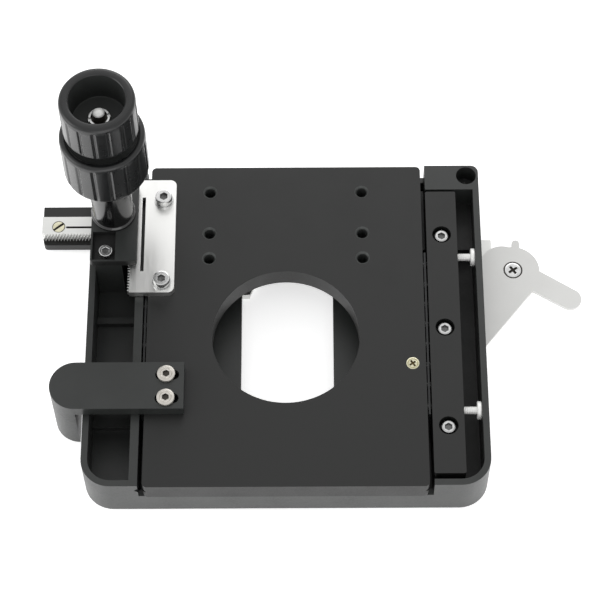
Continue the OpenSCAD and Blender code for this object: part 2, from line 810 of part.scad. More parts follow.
// Rail whose front right corner follows the pocket's round corner
module gib_rail() {
    color(black) difference() {
        intersection() {
            corner_plate([way_face, -rail_front, rail_z], [rail_right, rail_back, rim_z],
                         rail_corner_r, rail_corner_r);
            corner_plate([-inner_wall_x + rail_wall_gap, -carriage_front + wall_t + rail_wall_gap,
                rail_z - cut],
                         [inner_wall_x - rail_wall_gap, carriage_back, cut],
                         inner_corner_r - rail_wall_gap, pocket_back_r);
        }
        v_groove(way_face, 1, way_apex - way_gap / 2, -rail_front - cut, rail_back + cut, plate_edge_z);
        for (at = rail_screw_places) {
            post(at, screw_d + 2 * hole_room, rail_z - cut, cut);
            post(at, rail_counterbore_d, rim_z - rail_seat_depth, cut);
        }
        for (row = jack_rows) translate([rail_right - jack_hole, row, jack_z]) rotate([0, 90, 0])
            cylinder(d = jack_d + 2 * seat_gap, h = jack_hole + cut);
    }
}

module gib_rail_screws() {
    color(bright_steel) for (at = rail_screw_places)
        cap_screw(at, slim_head_d, slim_head_h, screw_d, rim_z - rail_seat_depth,
            rail_z - rail_screw_depth, hex_d);
}

// Screws that thread into the rail and push off the carriage's right wall
module gib_jack_screws() {
    color(bright_steel) for (row = jack_rows) translate([0, row, jack_z]) rotate([0, 90, 0]) {
        translate([0, 0, inner_wall_x - jack_head_t]) cylinder(d = jack_head_d, h = jack_head_t);
        translate([0, 0, rail_right - jack_grip])
            cylinder(d = jack_d, h = inner_wall_x - rail_right + jack_grip - jack_head_t / 2);
    }
}

// Wire that the slide bar's back groove runs along
module x_way_rod() {
    color(steel) translate([-rod_l / 2, rod_y, rod_z]) rotate([0, 90, 0]) cylinder(d = rod_d, h = rod_l);
}

// ---------- knob bracket, column and drive ----------

// Plate and foot that carry the column, with a recess at its front left
module knob_bracket() {
    color(black) difference() {
        union() {
            corner_plate([-bracket_left, bracket_front, bracket_under],
                [-bracket_right, bracket_back, bracket_top],
                         bracket_corner_r, bracket_corner_r);
            box([-bracket_body_left, bracket_front + bracket_lip, pocket_z],
                [-bracket_body_right, bridge_front - seat_gap, bracket_under + cut]);
            box([-bracket_body_left, bridge_front - cut, bridge_z],
                [-bracket_body_right, bracket_back, bracket_under + cut]);
        }
        post([-drive_x, drive_y], spigot_d + 2 * seat_gap, cavity_z1 - seat_gap, bracket_top + cut);
        post([-drive_x, drive_y], 2 * y_pinion_tip + 2 * move_gap, cavity_z0, cavity_z1);
        post([-drive_x, drive_y], shaft_d + 2 * running_play, pocket_z - cut, bracket_top);
        for (at = bracket_screw_places) post(at, screw_d + 2 * hole_room, pocket_z - cut,
            bracket_top + cut);
        box([-bracket_left + bracket_rim, bracket_front + bracket_rim, recess_z],
            [-drive_x + recess_over, drive_y - column_foot_d / 2 - bracket_rim / 2, bracket_top + cut]);
        post(bracket_screw_places[1], back_screw_hole_d, recess_z, bracket_top + cut);
    }
}

module bracket_screws() {
    color(bright_steel) {
        cap_screw(bracket_screw_places[0], slim_head_d, bracket_head_h, screw_d, recess_z,
                  face_z + bracket_screw_floor, hex_d);
        cap_screw(bracket_screw_places[1], slim_head_d, bracket_head_h, screw_d, recess_z,
                  channel_z + bar_room, hex_d);
    }
}

// Glossy tube that the two knobs turn in
module column_sleeve() {
    at = [-drive_x, drive_y];
    color(gloss_black) difference() {
        union() {
            post(at, spigot_d, cavity_z1 + seat_gap, bracket_top + cut);
            post(at, column_foot_d, bracket_top, bracket_top + column_foot_h);
            post(at, column_d, bracket_top, column_top);
        }
        post(at, 2 * column_bore, 0, column_top + cut);
    }
}

// Outer tube with the fore-and-aft pinion at its foot
module y_drive_tube() {
    at = [-drive_x, drive_y];
    color(steel) difference() {
        union() {
            translate([at.x, at.y, y_pinion_z0]) pinion(y_teeth, tooth_play / 2, y_pinion_z1 - y_pinion_z0);
            post(at, tube_d, y_pinion_z1 - cut, tube_top);
        }
        post(at, shaft_d + 2 * running_play, y_pinion_z0 - cut, tube_top + cut);
    }
}

// Outline of a knob's grip: flat lands between half-round grooves, the first at phase of a step
function grip_points(d, phase) = [for (groove = [0 : grip_count - 1])
    let (middle = (groove + phase) * 360 / grip_count)
    each [for (step = [0 : 5]) let (turn = middle - 90 - 36 * step)
        d / 2 * [cos(middle), sin(middle)] + grip_w / 2 * [cos(turn), sin(turn)]]];

// Knob body: a grooved grip under a smooth lip with a rounded edge
module grip_body(d, h, phase) {
    lip = d / 2 - knob_lip_in;
    ease = knob_lip_r * 0.3;
    linear_extrude(h - knob_lip_h) polygon(grip_points(d, phase));
    translate([0, 0, h - knob_lip_h]) rotate_extrude()
        polygon([[0, 0], [lip, 0], [lip, knob_lip_h - knob_lip_r], [lip - ease, knob_lip_h - ease],
                 [lip - knob_lip_r, knob_lip_h], [0, knob_lip_h]]);
}

module y_knob() {
    color(black) translate([-drive_x, drive_y, y_knob_z]) difference() {
        grip_body(y_knob_d, y_knob_h, 0.54);
        translate([0, 0, -cut]) cylinder(d = tube_d + 2 * seat_gap, h = y_knob_h + 2 * cut);
        translate([0, 0, y_recess_z - y_knob_z]) cylinder(d = y_recess_d, h = y_recess_depth + cut);
        translate([0, 0, grub_rise]) rotate([-90, 0, 0]) cylinder(d = grub_d + 2 * seat_gap, h = y_knob_d);
    }
}

// Screw through the lower knob that grips the outer tube
module y_knob_grub_screw() {
    color(steel) translate([-drive_x, drive_y, y_knob_z + grub_rise]) rotate([-90, 0, 0]) difference() {
        translate([0, 0, tube_d / 2 + running_play]) cylinder(d = grub_d, h = grub_l);
        translate([0, 0, tube_d / 2 + running_play + grub_l - grub_hex_depth])
            cylinder(d = grub_hex_d, h = grub_hex_depth + cut, $fn = 6);
    }
}

// Inner shaft with the sideways pinion at its foot and a reduced end for the nut
module x_drive_shaft() {
    at = [-drive_x, drive_y];
    color(bright_steel) union() {
        translate([at.x, at.y, x_pinion_z0]) rotate(90)
            pinion(x_teeth, tooth_play / 2, x_pinion_z1 - x_pinion_z0);
        post(at, shaft_d, x_pinion_z0, x_knob_floor - running_play);
        post(at, tip_d, x_knob_floor - cut, tip_z - tip_d / 4);
        translate([at.x, at.y, tip_z - tip_d / 4]) rotate_extrude() intersection() {
            scale([1, 0.5]) circle(d = tip_d);
            square([tip_d, tip_d]);
        }
    }
}

// Collar between the outer tube and the upper knob
module knob_spacer() {
    at = [-drive_x, drive_y];
    color(black) difference() {
        post(at, tube_d, tube_top + 2 * running_play, x_knob_z);
        post(at, shaft_d + 2 * seat_gap, tube_top, x_knob_z + cut);
    }
}

module x_knob() {
    color(black) translate([-drive_x, drive_y, x_knob_z]) difference() {
        grip_body(x_knob_d, x_knob_h, 0.83);
        translate([0, 0, -cut]) cylinder(d = shaft_d + 2 * seat_gap, h = x_knob_h);
        translate([0, 0, x_knob_h - x_cup_depth]) cylinder(d = x_cup_d, h = x_cup_depth + cut);
        translate([0, 0, x_knob_h - cup_chamfer])
            cylinder(d1 = x_cup_d, d2 = x_cup_d + 2 * (cup_chamfer + cut), h = cup_chamfer + cut);
    }
}

// Slotted ring nut that clamps the upper knob to the shaft
module x_knob_nut() {
    at = [-drive_x, drive_y];
    color(bright_steel) difference() {
        post(at, nut_d, x_knob_floor, x_knob_floor + nut_h);
        post(at, tip_d + 2 * seat_gap, x_knob_floor - cut, x_knob_floor + nut_h + cut);
        translate([at.x, at.y, x_knob_floor + nut_h]) rotate(15)
            cube([nut_d + cut, nut_slot_w, 2 * nut_slot_depth], center = true);
    }
}

// ---------- slide bar and slide holder ----------

// Bar with a ledge in front of the toothed strip and a rib behind it, grooved for the way rod
module x_bar() {
    color(black) difference() {
        union() {
            corner_plate([-bar_left, ledge_front, bar_z], [bar_right, bar_back, ledge_z], bar_front_r,
                bar_back_r);
            box([-bar_left, rib_front, ledge_z - cut], [bar_right, bar_back, strip_z]);
            box([-bar_left + strip_l + strip_end_gap, strip_face, ledge_z - cut],
                [bar_right, rib_front + cut, strip_z]);
        }
        translate([-bar_left - cut, rod_y, rod_z]) rotate([0, 90, 0])
            cylinder(d = rod_d + 2 * running_play, h = bar_left + bar_right + 2 * cut);
        for (at = x_rack_screw_places) post(at, small_screw_d + 2 * seat_gap, bar_z - cut, ledge_z + cut);
        for (at = holder_screw_places)
            post(at, small_screw_d + 2 * seat_gap, bar_z - cut, bar_z + holder_screw_l + running_play);
    }
}

// Toothed strip, slit along its length so that the front half can take up play
module x_rack() {
    first = ceil((-bar_left - strip_over + drive_x) / tooth_pitch + 0.5);
    last = floor((-bar_left + strip_l + drive_x) / tooth_pitch - 0.5);
    teeth = [for (p = rack_points(first, last, tooth_play / 2)) [-drive_x + p.x, strip_face + p.y]];
    slit_y = strip_face + strip_slit_in;
    color(steel) difference() {
        translate([0, 0, ledge_z]) linear_extrude(strip_t) polygon(concat(
            [[-bar_left - strip_over, rib_front], [-bar_left - strip_over, strip_face + tooth_h]],
            teeth, [[-bar_left + strip_l, strip_face + tooth_h], [-bar_left + strip_l, rib_front]]));
        box([-bar_left + strip_slit_first, slit_y - strip_slit_w / 2, ledge_z - cut],
            [-bar_left + strip_l - strip_slit_last, slit_y + strip_slit_w / 2, strip_z + cut]);
        for (at = x_rack_screw_places) {
            post(at, small_screw_d + hole_room, ledge_z - cut, strip_z + cut);
            post(at, strip_head_d + 2 * hole_room, strip_z - strip_head_h, strip_z + cut);
        }
    }
}

module x_rack_screws() {
    color(brass) for (at = x_rack_screw_places) difference() {
        union() {
            post(at, strip_head_d, strip_z - strip_head_h, strip_z + head_sink);
            post(at, small_screw_d, bar_z + tip_room, strip_z - strip_head_h / 2);
        }
        translate([at.x, at.y, strip_z]) rotate(38)
            cube([strip_head_d + cut, strip_slot_w, strip_head_h], center = true);
    }
}

// Plate that carries the fixed jaw at its left end and the finger's pivot at its right
module slide_holder() {
    color(steel) difference() {
        union() {
            box([-jaw_right - jaw_w, holder_front, holder_z0],
                [bar_right - holder_end_in, holder_back, holder_z1]);
            box([bar_right - ear_root, pivot_y, holder_z0], [holder_right, holder_notch_y, holder_z1]);
            box([bar_right - ear_root, pivot_y - ear_d / 2, holder_z0],
                [pivot_x, pivot_y + ear_d / 2, holder_z1]);
            post([pivot_x, pivot_y], ear_d, holder_z0, holder_z1);
            box([-jaw_right - jaw_w, jaw_front, holder_z0], [-jaw_right, holder_front + cut, holder_z1]);
            jaw_pad();
        }
        for (at = holder_screw_places) {
            post(at, small_screw_d + hole_room, holder_z0 - cut, holder_z1 + cut);
            cone(at, holder_head_d + hole_room + 2 * cut, small_screw_d + hole_room,
                 holder_z0 - cut, holder_z0 + holder_head_h);
        }
        post([pivot_x, pivot_y], pivot_stem_d + 2 * seat_gap, holder_z0 - cut, holder_z1 + cut);
        difference() {
            post([pivot_x, pivot_y], 2 * (spring_r + spring_room), holder_z1 - spring_groove_depth,
                holder_z1 + cut);
            post([pivot_x, pivot_y], 2 * (spring_r - spring_room), holder_z0, holder_z1 + 2 * cut);
        }
    }
}

// Raised pad of the fixed jaw, which reaches up to the slide's level
module jaw_pad() {
    translate([0, 0, holder_z1 - cut]) linear_extrude(finger_z1 - holder_z1 + cut) polygon([
        [-jaw_right - pad_w, jaw_front], [-jaw_right, jaw_front],
            [-jaw_right + pad_step_x, jaw_front + pad_step_y],
        [-jaw_right + pad_reach, jaw_front + pad_rise], [-jaw_right + pad_reach, holder_front + pad_over],
        [-jaw_right - pad_w, holder_front + pad_over]]);
}

module holder_screws() {
    color(steel) for (at = holder_screw_places) difference() {
        union() {
            cone(at, holder_head_d, small_screw_d, holder_z0 + head_sink,
                holder_z0 + head_sink + holder_head_h);
            post(at, small_screw_d, holder_z0 + holder_head_h / 2, bar_z + holder_screw_l);
        }
        translate([at.x, at.y, holder_z0 + head_sink])
            cube([holder_head_d + cut, holder_slot_w, 2 * holder_slot_depth], center = true);
    }
}

// Flat finger round its pivot: disc, lobe, thumb arm, nib and a claw with a hollow inner edge
module clamp_finger() {
    color("#dadbd9") translate([pivot_x, pivot_y, finger_z0]) difference() {
        union() {
            post([0, 0], 2 * disc_r, 0, finger_t);
            post(lobe, 2 * lobe_r, 0, finger_t);
            post(arm_tip, 2 * arm_tip_r, 0, finger_t);
            translate([arm_tip.x, arm_tip.y, 0]) rotate(arm_turn) linear_extrude(finger_t)
                polygon([[0, arm_tip_r], [0, -arm_tip_r], [-norm(arm_tip), -arm_root_w / 2],
                         [-norm(arm_tip), arm_root_w / 2]]);
            linear_extrude(finger_t)
                polygon([claw_root, claw_tip + claw_tip_r * claw_side, claw_tip - [claw_tip_r, 0],
                         lobe - [lobe_r - lobe_in, 0], claw_top]);
            post(claw_tip, 2 * claw_tip_r, 0, finger_t);
            post(nib, nib_w, 0, finger_t);
            box([nib.x - nib_w / 2, 0, 0], [nib.x + nib_w / 2, nib.y, finger_t]);
        }
        post(hollow, 2 * (norm(hollow - claw_tip) - claw_tip_r), -cut, finger_t + cut);
        post([0, 0], pivot_d + 2 * running_play, -cut, finger_t + cut);
        cone([0, 0], pivot_d + 2 * running_play, pivot_head_d + 3 * cut,
             finger_t - cross_head_h - running_play, finger_t + cut);
    }
}

// Countersunk screw that is both the finger's pin and its fastener
module finger_pivot_screw() {
    at = [pivot_x, pivot_y];
    color(bright_steel) difference() {
        union() {
            cone(at, pivot_d, pivot_head_d, finger_z1 - cross_head_h, finger_z1);
            post(at, pivot_d, holder_z1, finger_z1 - cross_head_h / 2);
            post(at, pivot_stem_d, holder_z0, holder_z1 + cut);
        }
        cross_recess(at, pivot_cross, finger_z1, cross_depth);
    }
}

// Open ring of wire that closes the finger, in a groove of the holder plate
module finger_spring() {
    color(steel) translate([pivot_x, pivot_y, holder_z1 - spring_drop]) rotate(70)
        rotate_extrude(angle = 320) translate([spring_r, 0]) circle(d = spring_wire_d, $fn = 16);
}

mount_plate();
stop_screw();
y_rack();
y_rack_washers();
y_rack_screws();
index_bracket();
index_screws();
carriage();
gib_rail();
gib_rail_screws();
gib_jack_screws();
left_ball_cage();
right_ball_cage();
left_way_balls();
right_way_balls();
knob_bracket();
bracket_screws();
column_sleeve();
y_drive_tube();
y_knob();
y_knob_grub_screw();
x_drive_shaft();
knob_spacer();
x_knob();
x_knob_nut();
x_way_rod();
x_bar();
x_rack();
x_rack_screws();
slide_holder();
holder_screws();
clamp_finger();
finger_pivot_screw();
finger_spring();
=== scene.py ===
"""Looks of a mechanical microscope stage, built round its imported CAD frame.

Sizes are in millimetres in every class and become metres where a mesh is made. The frame's origin
is the axis of the round light hole on the mount plate's face, with the knobs standing up along +Z.
"""

import json
import logging
import math
from dataclasses import dataclass
from enum import Enum
from typing import Any, Callable, Optional, Sequence

import bmesh
import bpy
import numpy as np
from mathutils import Matrix, Vector


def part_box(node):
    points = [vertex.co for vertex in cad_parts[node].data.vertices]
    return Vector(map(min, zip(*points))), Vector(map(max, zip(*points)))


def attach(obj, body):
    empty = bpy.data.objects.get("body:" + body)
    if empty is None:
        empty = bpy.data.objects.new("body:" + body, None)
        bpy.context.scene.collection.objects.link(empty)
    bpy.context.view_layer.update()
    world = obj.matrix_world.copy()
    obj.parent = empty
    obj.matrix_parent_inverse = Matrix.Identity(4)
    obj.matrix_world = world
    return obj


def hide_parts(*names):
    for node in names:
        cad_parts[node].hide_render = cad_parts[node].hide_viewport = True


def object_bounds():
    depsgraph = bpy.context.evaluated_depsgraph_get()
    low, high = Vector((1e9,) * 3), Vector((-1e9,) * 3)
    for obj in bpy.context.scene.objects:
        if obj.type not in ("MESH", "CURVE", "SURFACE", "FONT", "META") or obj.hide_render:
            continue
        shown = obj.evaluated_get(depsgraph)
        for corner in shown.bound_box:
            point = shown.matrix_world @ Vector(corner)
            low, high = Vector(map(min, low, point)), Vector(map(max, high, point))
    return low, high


LOG = logging.getLogger("microscope_stage")
MM = 0.001
TURN = 2 * math.pi
WELD_M = 1e-6  # points closer than this are one point
FLAT_DEG = 0.6  # faces that turn less than this are merged
EDGE_DEG = 35.0  # edges that turn more than this are broken
UPRIGHT = 0.3  # less Z than this in its normal makes a face upright
STEEP = 0.5  # less Z than this makes it a wall
LEVEL = 0.9  # more Z than this makes it level
Array = np.ndarray


# -------- colour and node helpers


def linear(hex_colour: str) -> tuple[float, float, float, float]:
    """Turns an sRGB hex colour into Blender's linear colour.

    Args:
        hex_colour: six hex digits after a hash.

    Returns:
        Red, green, blue and an alpha of one.
    """
    parts = [int(hex_colour[i : i + 2], 16) / 255 for i in (1, 3, 5)]
    red, green, blue = (
        c / 12.92 if c <= 0.04045 else ((c + 0.055) / 1.055) ** 2.4 for c in parts
    )
    return red, green, blue, 1.0


def add_node(
    tree: bpy.types.NodeTree,
    kind: str,
    links: Optional[dict[str, Any]] = None,
    **settings: Any,
) -> bpy.types.Node:
    """Adds one shader node.

    Args:
        tree: the material's node tree.
        kind: the node's type name.
        links: input name or index to a value, or to the socket that feeds it.
        settings: properties of the node itself.

    Returns:
        The new node.
    """
    node = tree.nodes.new(kind)
    for key, value in settings.items():
        setattr(node, key, value)
    for key, value in (links or {}).items():
        if isinstance(value, bpy.types.NodeSocket):
            tree.links.new(value, node.inputs[key])
        else:
            node.inputs[key].default_value = value
    return node


# -------- finishes


class Grain(Enum):
    """How a finish's fine pattern runs, as the stretch of its noise along X, Y and Z."""

    EVEN = (1.0, 1.0, 1.0)
    ALONG_X = (0.03, 1.0, 1.0)
    ALONG_Y = (1.0, 0.03, 1.0)


@dataclass(frozen=True)
class Finish:
    """A surface finish made of two noises: a wide one for tone and a fine one for grain.

    The roughness runs over BLEND, which the product of the two noises rarely leaves.

    Attributes:
        name: the material's name.
        light: the sRGB hex colour of the lighter patches.
        dark: the sRGB hex colour of the darker patches.
        metallic: 0 for paint and plastic, 1 for bare metal.
        rough: least and greatest roughness.
        patch_mm: size of a tone patch.
        grain_mm: size of a grain.
        grain_depth_mm: height of the grain.
        grain: the way that the grain runs.
        coat: weight of a clear glossy layer.
        coat_rough: roughness of that layer.
    """

    BLEND = (0.12, 0.42)

    name: str
    light: str
    dark: str
    metallic: float
    rough: tuple[float, float]
    patch_mm: float
    grain_mm: float
    grain_depth_mm: float
    grain: Grain = Grain.EVEN
    coat: float = 0.0
    coat_rough: float = 0.1

    def material(self) -> bpy.types.Material:
        """Returns the finish's material, made once."""
        made = bpy.data.materials.get(self.name)
        return made if made else self._build()

    def _noise(
        self, tree: bpy.types.NodeTree, place: bpy.types.NodeSocket, size_mm: float, detail: float
    ) -> bpy.types.NodeSocket:
        """Adds noise whose features are size_mm across and run along the grain.

        Args:
            tree: the material's node tree.
            place: the coordinates.
            size_mm: the width of a feature.
            detail: how many finer layers it has.

        Returns:
            The noise's value socket.
        """
        stretch = add_node(tree, "ShaderNodeMapping", {"Vector": place, "Scale": self.grain.value})
        pattern = {"Scale": 1 / (size_mm * MM), "Detail": detail, "Roughness": 0.55}
        noise = add_node(
            tree, "ShaderNodeTexNoise", {"Vector": stretch.outputs["Vector"], **pattern}
        )
        return noise.outputs["Fac"]

    def _build(self) -> bpy.types.Material:
        """Returns a new material: tone and roughness follow the patches, bump follows the grain."""
        material = bpy.data.materials.new(self.name)
        material.use_nodes = True
        tree = material.node_tree
        tree.nodes.clear()
        place = add_node(tree, "ShaderNodeTexCoord").outputs["Object"]
        patches = self._noise(tree, place, self.patch_mm, 4.0)
        grains = self._noise(tree, place, self.grain_mm, 2.0)
        tones = {"Factor": patches, 6: linear(self.dark), 7: linear(self.light)}
        tone = add_node(tree, "ShaderNodeMix", tones, data_type="RGBA")
        blend = add_node(tree, "ShaderNodeMath", {0: patches, 1: grains}, operation="MULTIPLY")
        spread = {
            "Value": blend.outputs[0],
            "From Min": self.BLEND[0],
            "From Max": self.BLEND[1],
            "To Min": self.rough[0],
            "To Max": self.rough[1],
        }
        rough = add_node(tree, "ShaderNodeMapRange", spread)
        relief = {"Height": grains, "Distance": self.grain_depth_mm * MM, "Strength": 1.0}
        bump = add_node(tree, "ShaderNodeBump", relief)
        looks = {
            "Base Color": tone.outputs[2],
            "Roughness": rough.outputs["Result"],
            "Normal": bump.outputs["Normal"],
            "Metallic": self.metallic,
            "Coat Weight": self.coat,
            "Coat Roughness": self.coat_rough,
        }
        shader = add_node(tree, "ShaderNodeBsdfPrincipled", looks)
        add_node(tree, "ShaderNodeOutputMaterial", {"Surface": shader.outputs["BSDF"]})
        return material


# Die-cast alloy under a semi-matt black stove enamel: an even black with a faint orange peel.
CAST_ENAMEL = Finish(
    "stove_enamelled_casting", "#2a2c2b", "#202221", 0.0, (0.34, 0.46), 9.0, 0.7, 0.006
)
# Milled aluminium, bead blasted and black anodised: a flat, slightly grey black with fine tooth.
ANODISED_PLATE = Finish(
    "black_anodised_aluminium", "#0a0b0a", "#060706", 0.0, (0.42, 0.56), 14.0, 0.35, 0.004
)
# Turned steel under gloss black enamel: nearly black, with sharp reflections of the lights.
GLOSS_ENAMEL = Finish(
    "gloss_black_enamel", "#070708", "#040405", 0.0, (0.18, 0.26), 12.0, 1.2, 0.002,
    coat=0.5, coat_rough=0.12,
)
# Moulded black ABS: soft highlights and a very faint texture from the tool.
MOULDED_ABS = Finish(
    "moulded_black_abs", "#151617", "#0f1010", 0.0, (0.26, 0.33), 8.0, 2.4, 0.0008
)
# Ground and nickel-plated steel: fine lines along Y.
GROUND_ALONG_Y = Finish(
    "ground_nickel_steel_y", "#f2f2f0", "#e6e6e4", 1.0, (0.28, 0.42), 5.0, 0.16, 0.0016,
    Grain.ALONG_Y,
)
# Duller strip stock with its lines along X.
GROUND_ALONG_X = Finish(
    "ground_nickel_steel_x", "#e0e0de", "#cecfcc", 0.6, (0.34, 0.46), 5.0, 0.16, 0.0016,
    Grain.ALONG_X,
)
# Stamped steel, barrelled and satin nickel plated: light grey with soft patches.
SATIN_NICKEL = Finish(
    "satin_nickel_sheet", "#dcdcda", "#d2d3d0", 1.0, (0.36, 0.46), 8.0, 0.3, 0.0012
)
# Bright zinc on cold-headed screws.
BRIGHT_ZINC = Finish(
    "bright_zinc_screws", "#e9e9e8", "#bcbdbd", 1.0, (0.2, 0.34), 1.2, 0.25, 0.004
)
# Yellow passivated zinc that has paled: silvery with a yellow cast.
YELLOW_ZINC = Finish(
    "yellow_zinc_screws", "#e4e1cc", "#c2bd9c", 1.0, (0.24, 0.38), 1.2, 0.25, 0.004
)
# Dull nickel on low-head screws: a warm grey without bright highlights.
DULL_NICKEL = Finish(
    "dull_nickel_screws", "#dad6cf", "#bab6af", 1.0, (0.38, 0.5), 1.6, 0.3, 0.003
)
# Turned steel, faced and pale, whose scatter keeps it light where little light falls.
FACED_STEEL = Finish(
    "faced_steel", "#f6f6f4", "#e8e8e6", 0.25, (0.4, 0.5), 2.0, 0.3, 0.002
)
# Painted shade for recesses, slits and undersides of plated steel: a dark grey metal that stands in
# for the shade that falls in them.
PAINTED_RECESS_SHADE = Finish(
    "painted_recess_shade", "#5a5650", "#3a3733", 0.7, (0.5, 0.62), 0.8, 0.3, 0.004
)
# Threads and slits cut after the finish: dull grey bare metal. On the rack's slit, screw holes and
# tooth gaps, where it is darker than the plated faces, it is also painted shade.
CUT_METAL_AND_SHADE = Finish(
    "cut_metal_and_painted_shade", "#4c4e4d", "#333534", 0.3, (0.46, 0.58), 1.0, 0.3, 0.006
)
# Phosphated strip steel of the ball cages: nearly black.
PHOSPHATED_STRIP = Finish(
    "phosphated_strip", "#2b2d2d", "#1e1f20", 0.0, (0.42, 0.54), 3.0, 0.4, 0.003
)
# Painted shade: a near black put on deep pocket floors and recesses of castings, for the shade that
# falls in them.
PAINTED_POCKET_SHADE = Finish(
    "painted_pocket_shade", "#0c0d0c", "#070807", 0.0, (0.5, 0.6), 6.0, 0.7, 0.004
)
# Broached sockets of small zinc-plated screws: a grey darker than the heads, which is painted shade
# in the sockets.
PAINTED_SOCKET_SHADE = Finish(
    "painted_socket_shade", "#989897", "#626363", 0.8, (0.36, 0.5), 0.5, 0.25, 0.006
)
# Pressed cross recess of a yellow screw: brown from the yellow passivation, and darker than the
# head as painted shade in the recess.
BROWN_RECESS_SHADE = Finish(
    "brown_cross_recess_shade", "#80704c", "#4a3f28", 0.8, (0.4, 0.55), 0.6, 0.25, 0.004
)
# Inside of the knobs' cups: the same ABS as moulded by a rougher core, matt, and painted lighter
# than the outside as painted light in the cups.
CUP_ABS_PAINTED_LIGHT = Finish(
    "cup_abs_painted_light", "#2a2c2b", "#1f2120", 0.0, (0.5, 0.62), 4.0, 0.8, 0.003
)
# Stamped steel under grey nickel and lacquer: an even light grey that hardly mirrors.
LACQUERED_SHEET = Finish(
    "lacquered_nickel_sheet", "#d6d6d4", "#cbcbc9", 0.35, (0.4, 0.5), 10.0, 0.35, 0.0012
)


# -------- mesh helpers


def new_piece(
    name: str,
    points: Array,
    faces: Sequence[Sequence[int]],
    finish: Finish,
    smooth_deg: float = 32.0,
    inlay: Optional[Finish] = None,
    inlaid: Optional[Array] = None,
) -> bpy.types.Object:
    """Makes an object from points in millimetres.

    Args:
        name: the piece's name.
        points: an array of places, one row each.
        faces: the corners of each face.
        finish: its finish.
        smooth_deg: edges that turn more than this stay sharp.
        inlay: a second finish.
        inlaid: for each face, whether it has the second finish.

    Returns:
        The new object, at the origin.
    """
    mesh = bpy.data.meshes.new(name)
    mesh.from_pydata((points * MM).tolist(), [], list(faces))
    mesh.update()
    mesh.polygons.foreach_set("use_smooth", np.ones(len(mesh.polygons), dtype=bool))
    mesh.set_sharp_from_angle(angle=math.radians(smooth_deg))
    piece = bpy.data.objects.new(name, mesh)
    bpy.context.scene.collection.objects.link(piece)
    mesh.materials.append(finish.material())
    if inlay is not None and inlaid is not None:
        mesh.materials.append(inlay.material())
        mesh.polygons.foreach_set("material_index", inlaid.astype(np.int32))
    return piece


def lathe_faces(turns: int, steps: int, closed: bool) -> list[tuple[int, ...]]:
    """Quads of a grid that wraps round its turns.

    Args:
        turns: number of columns round the axis.
        steps: number of points along the profile.
        closed: whether the profile's end joins its start; otherwise both ends get a pole.

    Returns:
        Corner numbers of each face. The poles follow the grid's points.
    """
    t, s = np.meshgrid(np.arange(turns), np.arange(steps if closed else steps - 1), indexing="ij")
    t2, s2 = (t + 1) % turns, (s + 1) % steps
    quads = np.stack([t * steps + s, t2 * steps + s, t2 * steps + s2, t * steps + s2], -1)
    faces = [tuple(q) for q in quads.reshape(-1, 4).tolist()]
    if not closed:
        first, last = turns * steps, turns * steps + 1
        a = np.arange(turns)
        b = (a + 1) % turns
        faces += [(first, int(j) * steps, int(i) * steps) for i, j in zip(a, b)]
        faces += [
            (last, int(i) * steps + steps - 1, int(j) * steps + steps - 1) for i, j in zip(a, b)
        ]
    return faces


def lathe_points(radius: Array, height: Array, closed: bool) -> Array:
    """Points of a lathe surface round the Z axis: (r cos t, r sin t, z) for each turn and step.

    Args:
        radius: radius for each turn and step.
        height: height for each turn and step, or for each step.
        closed: whether the profile is a loop; otherwise a pole is added at each end.

    Returns:
        The grid's points, then the poles.
    """
    turns, steps = radius.shape
    angle = np.arange(turns)[:, None] * TURN / turns
    z = np.broadcast_to(height, radius.shape)
    grid = np.stack([radius * np.cos(angle), radius * np.sin(angle), z], -1).reshape(-1, 3)
    if closed:
        return grid
    poles = np.array([[0.0, 0.0, z[:, 0].mean()], [0.0, 0.0, z[:, -1].mean()]])
    return np.vstack([grid, poles])


def rounded(corners: Sequence[tuple[float, float, float]], arc_steps: int = 4) -> Array:
    """Rounds the corners of a profile with quadratic curves.

    Args:
        corners: radius, height and rounding of each corner, in order.
        arc_steps: points on each rounded corner.

    Returns:
        The profile's points, one row each: radius and height.
    """
    places = np.array([(r, z) for r, z, _ in corners])
    out = []
    for i, (_, _, ease) in enumerate(corners):
        here = places[i]
        if ease <= 0 or i in (0, len(corners) - 1):
            out.append(here[None])
            continue
        back, ahead = places[i - 1] - here, places[i + 1] - here
        start = here + back / np.linalg.norm(back) * ease
        end = here + ahead / np.linalg.norm(ahead) * ease
        u = np.linspace(0, 1, arc_steps)[:, None]
        out.append((1 - u) ** 2 * start + 2 * u * (1 - u) * here + u**2 * end)
    return np.vstack(out)


